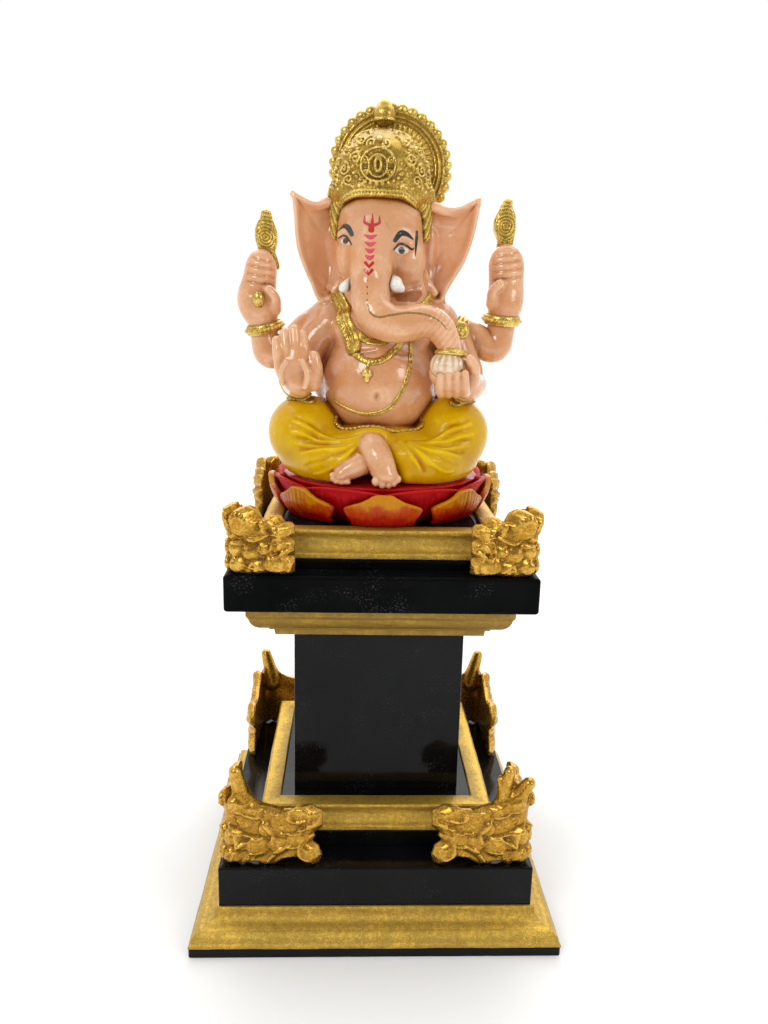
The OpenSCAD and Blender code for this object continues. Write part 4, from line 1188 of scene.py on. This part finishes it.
def inlay(name, strokes, material, on, lift=0.08):
    """Brushed paint: strokes of (x, z, half width) points seen from the front, thinly on a surface."""
    flat = [curve([(x, 0, z, r) for x, z, r in stroke], 5) for stroke in strokes]
    every = np.vstack(flat)
    step = 0.17
    low = [every[:, 0].min() - 1.5, -60, every[:, 2].min() - 1.5]
    high = [every[:, 0].max() + 1.5, -6, every[:, 2].max() + 1.5]
    spots = np.array([[x, y, z] for x in np.linspace(low[0], high[0], 7) for z in np.linspace(low[2], high[2], 7)
                      for y in np.arange(-58, -6, 1.0)])
    field = on.sample(spots).reshape(7, 7, -1)
    hits = np.where((field < 0).any(2), (field < 0).argmax(2), -1)
    near = hits[hits >= 0]
    low[1], high[1] = -58 + near.min() - 3.0, -58 + near.max() + 2.0
    c = Clay(low, high, step, 0.4)
    x, y, z = c.places()
    paint = np.full((x.shape[0], 1, z.shape[2]), FAR, np.float32)
    for p in flat:
        for a, b in zip(p, p[1:]):
            e = (b[0] - a[0], b[2] - a[2])
            t = np.clip(((x - a[0]) * e[0] + (z - a[2]) * e[1]) / max(e[0] ** 2 + e[1] ** 2, 1e-9), 0, 1)
            gap = np.sqrt((x - a[0] - t * e[0]) ** 2 + (z - a[2] - t * e[1]) ** 2) - (a[3] + t * (b[3] - a[3]))
            paint = np.minimum(paint, gap)
    x, y, z = np.broadcast_arrays(x, y, z)
    points = np.stack([x.ravel(), y.ravel(), z.ravel()], 1)
    surface = on.sample(points).reshape(c.count).astype(np.float32)
    c.d = smooth_max(paint + 0 * surface, np.abs(surface + 0.4 - lift) - 0.4, 0.06).astype(np.float32)
    return c.sculpt(name, material, (), "skin_enamel")


# the lotus seat and the corner ornaments

def lotus_core_clay():
    z0 = LOTUS_Z - SEAT_Z
    c = Clay((-60, -60, z0), (60, 60, 0))
    x, y, z = c.places()
    r = np.sqrt(x ** 2 + y ** 2)
    wall = 46.5 + (z - z0) * 0.5 - 0.02 * (z - z0) * (-z)
    c.d = smooth_max(smooth_max(r - wall + 0.35 * np.cos(24 * np.arctan2(y, x)), z + 0.05 + 0 * r, 1.2),
                     z0 - z + 0 * r, 0.8).astype(np.float32)
    return c


def petal(c, angle, foot, lip, z0, z1, outline, curl, thick, belly):
    """One cupped petal on the seat: a leaf outline (across, up) wrapped round the core."""
    t = math.radians(angle)
    ax, ay = math.cos(t), math.sin(t)
    half = max(p[0] for p in outline)
    corners = np.array([np.array([ax, ay]) * r + np.array([-ay, ax]) * s * half
                        for r in (foot - 3, lip + curl + 2) for s in (-1, 1)])
    where, (x, y, z) = c.window((*(corners.min(0) - 3), z0 - 2), (*(corners.max(0) + 3), z1 + 2))
    along, across = x * ax + y * ay, -x * ay + y * ax
    r = np.sqrt(x ** 2 + y ** 2)
    s = np.arctan2(across, along) * 0.5 * (foot + lip) + 0 * z
    up = z - z0 + 0 * s
    edge = polygon_field(curve([(a, b, 0, 0) for a, b in outline], 3, True)[:, :2], s, up)[1]
    v = np.clip((z - z0) / (z1 - z0), -0.2, 1.1)
    bow = (foot + (lip - foot) * v ** 0.9 + belly * np.sin(math.pi * np.clip(v, 0, 1)) + curl * np.clip(v - 0.72, 0, 1) ** 2 * 8
           - 2.0 * (np.abs(s) / half) ** 2)
    n = r - bow + 0.5 * swell(s, 0, 1.1) * ease(v, 1, 0.6) + 0.12 * np.cos(s * 2.1) - 0.5 * swell(edge, -0.8, 1.0)
    field = smooth_max(edge, np.abs(n) - thick, 1.2)
    field = smooth_max(field, z0 - z + 0 * s, 0.6)
    c.d[where] = np.minimum(c.d[where], field.astype(np.float32))


OUTER_PETAL = [(0, 18.2), (-4.6, 17.8), (-7.4, 16), (-11.4, 13.8), (-16, 12.2), (-20.4, 10), (-20, 7.4), (-17.6, 2.4),
               (-16.6, -2), (0, -2), (16.6, -2), (17.6, 2.4), (20, 7.4), (20.4, 10), (16, 12.2), (11.4, 13.8),
               (7.4, 16), (4.6, 17.8)]
INNER_PETAL = [(0, 19.9), (-9, 19.5), (-17, 18), (-22.4, 16), (-24, 10), (-21, 2), (-14, -2), (0, -2), (14, -2), (21, 2),
               (24, 10), (22.4, 16), (17, 18), (9, 19.5)]


def petals_clay(inner):
    z0 = LOTUS_Z - SEAT_Z
    c = Clay((-70, -70, z0), (70, 70, 2))
    for number in range(8):
        if inner:
            petal(c, 22.5 + 45 * number, 48.5, 60, z0 + 0.4, 0.6, INNER_PETAL, 2.0, 1.4, 1.0)
        else:
            petal(c, 45 * number, 56.6, 62.6, z0 + 0.2, z0 + 18.6, OUTER_PETAL, 0.6, 1.7, 2.2)
    return c


LOWER_OUTLINE = [(0, 36), (2, 40), (6, 42.5), (9.5, 42), (13, 39.6), (18, 36.6), (24, 35), (30, 33), (35.4, 33.2),
                 (39, 35.6), (44.4, 35.6), (49.4, 32.6), (52.6, 28.4), (52.6, 24.6), (49, 20.6), (45.6, 18.8), (46.6, 16.2),
                 (44.8, 13.2), (48.6, 10.8), (50.6, 5.2), (49, 0.3), (45, 1.8), (38, 4.6), (31.4, 3.4), (26.4, 0.2),
                 (21, 0), (18, 1.6), (12.4, 1.4), (9.6, 0), (6.6, 2), (2.4, 0.4), (0, 0)]
UPPER_OUTLINE = [(0, 27), (1.4, 31.4), (4.6, 34.6), (8.6, 35.4), (12, 33.2), (14, 28.8), (16.4, 28.8), (19.4, 31),
                 (23, 30.6), (25, 27), (28, 27.2), (30.6, 24.6), (30.8, 21.2), (28.8, 19), (31.6, 16.8), (32.3, 12.6),
                 (30, 10), (32.4, 6.4), (31, 1.2), (27, 0), (20, 0.8), (12, 0), (0, 0)]
# The tips that stand up from a lower casting: (in from the side face, in from the front face, up, radius)
ONE_TIP = [[(12, 5, 33, 5.6), (10.5, 5, 43, 4.6), (8, 5.5, 54, 3.5)]]
TWO_TIPS = [[(16, 5, 33, 4.4), (15.4, 5, 43, 3.6), (13.4, 5, 54.4, 3.2)], [(16.4, 5, 42, 3), (18.4, 5.6, 49.5, 2)],
            [(12, 4.4, 36, 5), (7.6, 3.6, 42.4, 4.2), (3, 3.4, 48.6, 3.4)]]


def lumps(relief, domes, ridges, curls, width, height):
    """Rounded leaf swellings with ridges and small curls on top, the same on both wings."""
    top = Relief(relief.low, relief.low + relief.step * (relief.count - 1), relief.step)
    for side in (-1, 1):
        for u, w, radius, tall in domes:
            relief.bead(side * u, w, radius, tall)
        for *points, half, tall in ridges:
            last = len(points) - 1
            top.stroke([(side * u, w, half * (1 - 0.55 * (2 * i / last - 1) ** 2)) for i, (u, w) in enumerate(points)], tall)
    for number in range(curls):
        u, w = rng.uniform(-width, width), rng.uniform(1.5, height)
        start, size, hand = rng.uniform(0, 360), rng.uniform(1.1, 2.4), rng.choice((-1, 1))
        top.spiral(u, w, size, rng.uniform(0.45, 0.9), start, 0.24 * size + 0.3, rng.uniform(0.6, 1.3), hand)
    relief.h += top.h
    for axis in (0, 1, 0, 1, 0, 1):
        relief.h = (np.roll(relief.h, 1, axis) + 2 * relief.h + np.roll(relief.h, -1, axis)) / 4
    return relief


def lower_relief():
    """Acanthus: lobed swellings, a crescent at the foot and ridges that run out from the corner."""
    domes = ((4.6, 6, 5.4, 2.4), (5, 18, 6, 2.4), (19, 12, 6.4, 2.6), (11.5, 26, 4, 1.2), (9, 36.5, 5.2, 3.0),
             (17.5, 32.4, 5, 2.2), (33, 26.4, 8, 2.4), (43.6, 30, 6.4, 2.0), (24, 22.6, 5, 2.2), (30.5, 13.6, 6, 2.2),
             (39.5, 15.6, 5.4, 2.2), (45, 8, 6.4, 1.4), (11, 13, 4, 2.2), (49, 25, 3.4, 2.4), (26, 30.6, 4, 1.8))
    ridges = (((9, 34), (16, 31), (23, 27), (27.5, 20.5), (28.5, 14), 1.5, 1.3), ((2, 25), (8, 20.6), (14, 18.4), (22, 17), 1.3, 1.2),
              ((3.4, 7), (10.6, 12.4), (17, 16.6), 1.1, 1.1), ((6.4, 4), (9, 12), (8.4, 21), 1.1, 1.2),
              ((24, 2), (28.6, 7.4), (35, 11.4), (42, 12.4), 1.9, 1.6), ((33, 20.5), (40, 20.4), (47, 23.6), 1.4, 1.3),
              ((38, 35), (36.6, 29.6), (40.6, 26.6), (47.4, 28.6), 1.2, 1.2), ((42.6, 13), (42.6, 7.4), (47.4, 3.2), 1.3, 1.3),
              ((14, 38), (22, 34.4), (31, 32), (38, 33.6), 1.1, 1.1), ((13, 3), (16, 8), (23, 8.6), 1.0, 1.1))
    return lumps(Relief((-56, -2), (56, 62), 0.25), domes, ridges, 12, 48, 34)


def upper_relief():
    """A big rounded shell at the corner, a broad leaf beside it, and a swirl and a ball at the outer end."""
    domes = ((7.6, 27.6, 8, 3.6), (15, 21.6, 5.4, 2.0), (26.4, 24.4, 5.4, 2.2), (20.4, 27.6, 4.2, 2.0), (25.8, 16.6, 4.8, 2.2),
             (24, 5.4, 6, 2.4), (3.8, 14, 4.2, 2.4), (12, 12, 4.6, 2.0), (4.4, 5, 4.4, 2.8), (15.2, 4.4, 4.2, 2.6),
             (30.4, 11, 3, 2.2), (19.2, 14.2, 3.8, 2.0), (1.5, 21, 3.2, 2.0))
    flutes = tuple(((7.6 + 3 * math.cos(a), 26.5 + 3 * math.sin(a)), (7.8 + 5.6 * math.cos(a), 27 + 5.6 * math.sin(a)),
                    (8 + 8 * math.cos(a), 27.4 + 8 * math.sin(a)), 1.0, 0.8) for a in np.radians(np.arange(20, 170, 24)))
    fan = tuple(((21 + 4 * math.cos(a), 7 + 4 * math.sin(a)), (21 + 6.4 * math.cos(a), 7 + 6.6 * math.sin(a)),
                 (21 + 9 * math.cos(a), 7 + 9 * math.sin(a)), 0.9, 1.2) for a in np.radians(np.arange(30, 125, 21)))
    ridges = flutes + fan + (((17.4, 29.5), (18.4, 26), (19, 22), 1.1, 1.8), ((9, 19.4), (15, 18), (21, 21), 1.2, 1.6),
                             ((22.6, 20.6), (26, 21.4), (29.4, 18.4), (27.6, 13.6), 1.3, 1.9), ((1, 17), (6, 17.4), (11, 14.6), 1.0, 1.1),
                             ((12, 1.6), (15, 7.6), (18.4, 2), 0.9, 1.2), ((1.4, 9.6), (6.4, 9), (9.6, 4), 1.0, 1.2),
                             ((21, 29), (24, 26), (26.6, 20.6), 1.0, 1.7), ((26.6, 26.4), (28, 23.6), (27.6, 20.4), 0.9, 1.4))
    r = lumps(Relief((-38, -2), (38, 38), 0.22), domes, ridges, 8, 33, 24)
    for side in (-1, 1):
        r.spiral(side * 26, 16.4, 3.4, 1.2, 20, 1.0, 2.4, hand=side)
    return r


def corner_leaf(name, face, foot, outline, relief, sx, sy, thick, swing, bulge, tips=()):
    """An L-shaped casting: wings along both faces of a corner, wrapped round its edge.

    face is how far the wings' outer sides are from the middle, and sx, sy pick the corner.
    Along the wrap, u runs from the end of the side wing (negative) to the end of the front wing.
    """
    reach, top = max(p[0] for p in outline), max(p[1] for p in outline)
    tall = max([top] + [p[2] + p[3] for tip in tips for p in tip])
    low, high = face - reach - 1, face + 3
    xs, ys = sorted((sx * low, sx * high)), sorted((sy * low, sy * high))
    c = Clay((xs[0], ys[0], foot - SEAT_Z), (xs[1], ys[1], foot + tall - SEAT_Z), 0.5, 1.5)
    x, y, z = c.places()
    a, b = face - sx * x, face - sy * y
    w = z - (foot - SEAT_Z)
    u = a - b
    deep = smooth_min(a, b, 7) + 0.8
    span = np.arange(-reach - 4, reach + 4.01, 0.25)
    up = np.arange(-2, top + 3, 0.25)
    su, sw = np.meshgrid(span, up, indexing="ij")
    loop = np.array(outline + [(-u0, w0) for u0, w0 in outline[::-1]], float)
    sheet = Relief((span[0], up[0]), (span[-1], up[-1]), 0.25)
    sheet.h = polygon_field(loop, su, sw)[1]
    sheet.count = np.array(sheet.h.shape)
    edge = sheet.at(u + 0 * w, w + 0 * u)
    edge = np.where(w > top + 2, w - top + edge, edge)
    sink = swing * ease(w, 0.55 * top, top) ** 1.5 + bulge * np.sin(math.pi * np.clip(w / (0.62 * top), 0, 1)) \
        + 1.2 * ease(np.abs(u), 0.75 * reach, reach)
    raised = relief.at(u + 0 * w, w + 0 * u) * ease(-edge, -0.2, 2.0)
    front = (2.6 - sink - 0.9 * raised) - deep
    back = deep - (thick - 0.35 * sink - 0.3 * np.sin(u / 3.7) * np.sin(w / 5.1))
    c.d = smooth_max(smooth_max(edge, front, 1.5), back, 1.8).astype(np.float32) * 0.8
    for tip in tips:
        c.add(limb([(sx * (face - a), sy * (face - b), h + foot - SEAT_Z, r) for a, b, h, r in tip]), 2.4)
    c.sculpt(name + "_casting", GOLD_LEAF, [name], "gold_leaf_casting")


def ornaments():
    low, high = lower_relief(), upper_relief()
    corners = (("front_left", -1, -1), ("front_right", 1, -1), ("back_right", 1, 1), ("back_left", -1, 1))
    for place, sx, sy in corners:
        tips = TWO_TIPS if place == "front_right" else ONE_TIP
        corner_leaf("lower_leaf_" + place, 84.2, BLOCK_TOP, LOWER_OUTLINE, low, sx, sy, 6.4, 1.0, 0.5, tips)
        corner_leaf("upper_leaf_" + place, 79.0, SLAB_TOP, UPPER_OUTLINE, high, sx, sy, 6.4, 0.3, 0.8)


def lotus():
    core, inner, outer = lotus_core_clay(), petals_clay(True), petals_clay(False)
    for c, name, material, nodes, slot in ((core, "lotus_core", RED, ["lotus_core"], "red_enamel"),
                                           (inner, "lotus_inner", PETAL_RED, ["lotus_inner_petals"], "red_enamel"),
                                           (outer, "lotus_outer", PETAL_ORANGE, ["lotus_outer_petals"], "orange_tipped_enamel")):
        c.sculpt(name + "_sculpt", material, nodes, slot, everything_near(c, (core, inner, outer)))


def petal_paint(name, tip, middle, foot, high, low, roughness=(0.16, 0.34), specular=0.18):
    """Petal enamel that was airbrushed from the tip: the colour changes with height."""
    n = Nodes(name)
    height = n.add("ShaderNodeSeparateXYZ", {"Vector": n.place}).outputs["Z"]
    rise = n.span(height, 0, 1, low * MM, high * MM)
    rise = n.math("ADD", rise, n.span(n.noise(8, 4), -0.18, 0.18, 0.3, 0.7))
    colour = n.ramp(rise, [(0.12, foot), (0.5, middle), (0.78, tip)])
    rough = n.span(n.noise(4, 3), roughness[0], roughness[1], 0.3, 0.7)
    normal = n.bump(n.noise(5, 2), 0.5, 0.5)
    normal = n.bump(n.noise(1.4, 3), 0.3, 0.25, normal)
    return n.finish(base_color=colour, roughness=rough, normal=normal, specular=specular)


LOTUS_Z = mm_box("lotus_core")[0][2]
PETAL_ORANGE = petal_paint("orange_tipped_enamel", (0.57, 0.22, 0.002), (0.46, 0.05, 0.003), (0.34, 0.005, 0.004),
                           LOTUS_Z + 17, LOTUS_Z + 1)
PETAL_RED = petal_paint("red_petal_enamel", (0.50, 0.012, 0.014), (0.36, 0.003, 0.006), (0.22, 0.002, 0.003),
                        SEAT_Z + 3, LOTUS_Z + 1, roughness=(0.3, 0.5), specular=0.08)


def idol():
    head, trunk, torso, dhoti = head_clay(), trunk_clay(), torso_clay(), dhoti_clay()
    front_foot, rear_foot = front_foot_clay(), rear_foot_clay()
    left_ear, right_ear = ear_clay(-1), ear_clay(1)
    left_rear, right_rear = raised_arm_clay(-1, LEFT_RISE), raised_arm_clay(1, RIGHT_RISE)
    left_front, right_front = left_front_arm_clay(), right_front_arm_clay()
    tusks, crown, halo, sweet = tusks_clay(), crown_clay(), halo_clay(), sweet_clay()
    left_emblem, right_emblem = emblem_clay(-1, LEFT_RISE, 0.12), emblem_clay(1, RIGHT_RISE, -0.02)
    cast = [head, trunk, torso, dhoti, front_foot, rear_foot, left_ear, right_ear, left_rear, right_rear,
            left_front, right_front]

    body = Clay((-84, -60, 0), (84, 24, 152))
    for c in cast:
        body.d = np.minimum(body.d, c.seen_by(body))
    made = {}
    bust = Clay((-84, -60, 0), (84, 24, 124))
    for c in (torso, left_rear, right_rear, left_front, right_front, dhoti):
        bust.d = np.minimum(bust.d, c.seen_by(bust))
    chest = Clay((-44, -46, 20), (46, 24, 116))
    chest.d = np.minimum(chest.d, torso.seen_by(chest))
    jewellery(bust, chest, made)

    skins = ((torso, "torso", SKIN, [(dhoti, 1.6), (head, 4), (trunk, 1.5), (left_rear, 4), (right_rear, 4),
                                     (left_front, 3.5), (right_front, 3.5)]),
             (head, "head", SKIN, [(trunk, 7), (torso, 4), (left_ear, 4), (right_ear, 4)]),
             (trunk, "trunk", SKIN, [(head, 7), (torso, 1.5), (right_front, 1.2)]),
             (left_ear, "left_ear", EAR_SKIN, [(head, 4), (torso, 2), (left_rear, 1.5)]),
             (right_ear, "right_ear", EAR_SKIN, [(head, 4), (torso, 2), (right_rear, 1.5)]),
             (left_rear, "left_rear_arm", SKIN, [(torso, 4), (left_front, 3), (left_ear, 1.5)]),
             (right_rear, "right_rear_arm", SKIN, [(torso, 4), (right_front, 3), (right_ear, 1.5)]),
             (left_front, "left_front_arm", SKIN, [(torso, 3.5), (left_rear, 3), (dhoti, 1.5)]),
             (right_front, "right_front_arm", SKIN, [(torso, 3.5), (right_rear, 3), (dhoti, 1.5), (trunk, 1.2)]),
             (front_foot, "front_foot", SKIN, [(dhoti, 1.4), (rear_foot, 0.8)]),
             (rear_foot, "rear_foot", SKIN, [(dhoti, 1.4), (front_foot, 0.8)]),
             (dhoti, "dhoti", YELLOW, [(torso, 1.6), (front_foot, 1.4), (rear_foot, 1.4), (left_front, 1.5),
                                       (right_front, 1.5)]))
    blended = {}
    for own, name, material, near in skins:
        blended[name] = joined(own, *near)
        slot = "yellow_enamel" if name == "dhoti" else "skin_enamel"
        blended[name].sculpt(name + "_sculpt", material, [name], slot,
                             everything_near(own, cast + [crown, tusks]))
    for own, name, material, slot in ((crown, "crown", GOLD_TRIM, "gold_idol_trim"), (halo, "halo", GOLD_TRIM, "gold_idol_trim"),
                                      (left_emblem, "left_hand_emblem", GOLD_TRIM, "gold_idol_trim"),
                                      (right_emblem, "right_hand_emblem", GOLD_TRIM, "gold_idol_trim"),
                                      (tusks, "tusks", WHITE, "white_enamel"), (sweet, "sweet", SWEET, "sweet_enamel")):
        own.sculpt(name + "_sculpt", material, [name], slot, everything_near(own, cast + [crown, halo]))
    for name, own in made.items():
        own.sculpt(name + "_sculpt", GOLD_TRIM, [name], "gold_idol_trim", everything_near(own, [body]))
    rim = Clay((22, -52, 58), (48, -26, 78))
    rim.add(ring((34, -41, 69.6), 7.4, 1.2, (-6, 4, 0), 0.9))
    rim.add(ring((34, -41, 71.2), 6.6, 0.7, (-6, 4, 0), 0.9), 0.3)
    rim.sculpt("sweet_bowl_rim", GOLD_TRIM, ["sweet"], "sweet_enamel")

    face = Clay((-36, -58, 74), (44, 4, 156), margin=1)
    face.d = np.minimum(face.d, blended["head"].seen_by(face))
    face.d = np.minimum(face.d, blended["trunk"].seen_by(face))
    marks(face)


def marks(face):
    """The painted eyes, brows and forehead marks."""
    dx, dz = -8.7, 139
    fx = dx + 0.7
    fork = [[(fx + s * 4, dz - 0.9, 0.25), (fx + s * 3.8, dz - 2.3, 0.5), (fx + s * 3.9, dz - 4.4, 0.75),
             (fx + s * 1.6, dz - 5.8, 0.85), (fx, dz - 6, 0.95)] for s in (-1, 1)]
    fork.append([(fx + 0.3, dz + 0.2, 0.2), (fx + 0.2, dz - 2.8, 0.7), (fx, dz - 6, 1.1)])
    fork.append([(fx - 0.2, dz - 6.4, 1.6), (fx - 0.4, dz - 8.4, 1.7)])
    inlay("forehead_fork", fork, MARK_RED, face)
    hearts = []
    for number, (z, half, tall) in enumerate(((-12, 3.2, 1.2), (-15.7, 2.7, 1.2), (-19.1, 2.4, 1.2), (-22.5, 2.2, 1.2))):
        cz, cx = dz + z, dx - 0.1 * number
        hearts.append([(cx - half, cz + 0.9, 0.35), (cx - 0.5 * half, cz + 0.2, tall * 0.75), (cx, cz - 0.4, tall),
                       (cx + 0.5 * half, cz + 0.2, tall * 0.75), (cx + half, cz + 0.9, 0.35)])
    inlay("forehead_petals", hearts, MARK_PINK, face)
    lower = []
    for cz, cx, half in ((dz - 26.2, dx - 0.6, 1.8), (dz - 29.8, dx - 0.8, 1.7)):
        lower += [[(cx - half, cz + 0.9, 0.9), (cx, cz - 1.2, 0.6)], [(cx + half, cz + 0.9, 0.9), (cx, cz - 1.2, 0.6)]]
    for cz in (dz - 34, dz - 37.2, dz - 40.4, dz - 43.6):
        lower.append([(dx - 1.4, cz + 0.3, 0.4), (dx - 1.4, cz - 0.3, 0.4)])
    inlay("forehead_hearts", lower, MARK_RED, face)
    brows = [[(-25.6, 131.6, 0.5), (-23, 133.4, 1.1), (-20.6, 132.6, 1.4), (-18.4, 128.8, 1.2)],
             [(4.2, 126.2, 1.1), (7.2, 130, 1.5), (10.6, 129.8, 1.2), (14, 127.6, 0.35)]]
    eyes = [[(-25.4, 127.6, 0.35), (-23, 128.6, 0.5), (-20.8, 127.4, 0.5), (-18.4, 123.4, 0.35)],
            [(3.8, 121.6, 0.4), (6.4, 124.6, 0.55), (9.4, 124.8, 0.6), (13.4, 122.4, 0.5), (14.6, 123.2, 0.25)]]
    inlay("brow_paint", brows, EYE_BLACK, face, 0.12)
    inlay("temple_line", [[(16.2, 132, 0.7), (16, 128, 0.9), (15.5, 122, 0.5), (15.2, 118.5, 0.15)]], EYE_BLACK, face, 0.12)
    inlay("eye_lines", eyes, EYE_BLACK, face, 0.24)
    whites = [[(-23.6, 125.6, 0.9), (-21.6, 125.8, 1.7), (-19.8, 124.2, 0.7)], [(4.8, 121.4, 0.7), (7.6, 121.6, 2), (10.8, 121.4, 0.9)]]
    irises = [[(-21.7, 125.9, 1.5), (-21.6, 125.7, 1.5)], [(7.9, 121.7, 1.75), (8, 121.5, 1.75)]]
    pupils = [[(-21.7, 125.8, 0.8), (-21.6, 125.7, 0.8)], [(7.9, 121.6, 0.95), (8, 121.5, 0.95)]]
    inlay("eye_whites", whites, EYE_WHITE, face, 0.06)
    inlay("eye_irises", irises, EYE_BROWN, face, 0.14)
    inlay("eye_pupils", pupils, EYE_BLACK, face, 0.2)
    # painted shadow laid into the mouth recess beside the trunk
    inlay("mouth_shadow", [[(5.4, 98.6, 1.0), (9.4, 97.4, 2.9), (14, 97.6, 3.3), (18.6, 100, 1.8)]], MOUTH_SHADOW, face, 0.05)
    inlay("trunk_line", [[(-9.8, 93.5, 0.3), (-8.2, 89, 0.5), (-4, 87.2, 0.6), (3, 88.5, 0.6), (11, 89.6, 0.6),
                          (20, 88.8, 0.55), (27, 85.6, 0.45), (30.5, 82, 0.25)]], MARK_BROWN, face)


# ---------------------------------------------------------------- the studio

def studio():
    scene = bpy.context.scene
    camera = bpy.data.objects.new("camera", bpy.data.cameras.new("camera"))
    camera.data.sensor_width = 36
    camera.data.lens = 28.9
    camera.data.clip_start = 0.01
    yaw, pitch, roll = math.radians(2.27), math.radians(13.25), math.radians(1.35)
    turn = (Matrix.Rotation(-yaw, 4, "Z") @ Matrix.Rotation(math.pi / 2 - pitch, 4, "X")
            @ Matrix.Rotation(roll, 4, "Z"))
    camera.matrix_world = Matrix.Translation((-0.016, -0.4746, 0.3337)) @ turn
    scene.collection.objects.link(camera)
    scene.camera = camera

    floor_mesh = bpy.data.meshes.new("floor")
    half = 2.2
    floor_mesh.from_pydata([(-half, -half, 0), (half, -half, 0), (half, half, 0), (-half, half, 0)],
                           [], [(0, 1, 2, 3)])
    floor = bpy.data.objects.new("floor", floor_mesh)
    scene.collection.objects.link(floor)
    paper = Nodes("pale_floor")
    floor_mesh.materials.append(paper.finish(base_color=(0.93, 0.93, 0.92), roughness=0.9))

    world = bpy.data.worlds.new("soft_white")
    world.use_nodes = True
    tree = world.node_tree
    way = tree.nodes.new("ShaderNodeSeparateXYZ")
    tree.links.new(tree.nodes.new("ShaderNodeTexCoord").outputs["Generated"], way.inputs["Vector"])
    fade = tree.nodes.new("ShaderNodeMapRange")
    fade.inputs["From Min"].default_value, fade.inputs["From Max"].default_value = -0.75, 0.1
    fade.inputs["To Min"].default_value, fade.inputs["To Max"].default_value = 0.28, 1.0
    tree.links.new(way.outputs["Y"], fade.inputs["Value"])
    tree.links.new(fade.outputs["Result"], tree.nodes["Background"].inputs["Strength"])
    tree.nodes["Background"].inputs["Color"].default_value = (1, 1, 1, 1)
    scene.world = world
    scene.view_settings.view_transform = "Standard"

    middle = Vector((0, 0, 0.27))
    lamps = [("key", (-0.75, -1.15, 1.05), 0.5, 6.5), ("fill", (0.95, -1.0, 0.75), 0.45, 3.5),
             ("top", (0.1, 1.6, 2.4), 3.6, 52), ("back", (0.3, 1.6, 0.9), 1.2, 4)]
    for name, place, size, power in lamps:
        lamp = bpy.data.lights.new(name, "AREA")
        lamp.shape = "SQUARE"
        lamp.size = size
        lamp.energy = power
        light = bpy.data.objects.new(name, lamp)
        light.location = place
        aim = Vector((0.1, 1.2, 0)) if name == "top" else middle
        light.rotation_euler = (aim - Vector(place)).to_track_quat("-Z", "Y").to_euler()
        scene.collection.objects.link(light)


pedestal()
lotus()
idol()
ornaments()
studio()
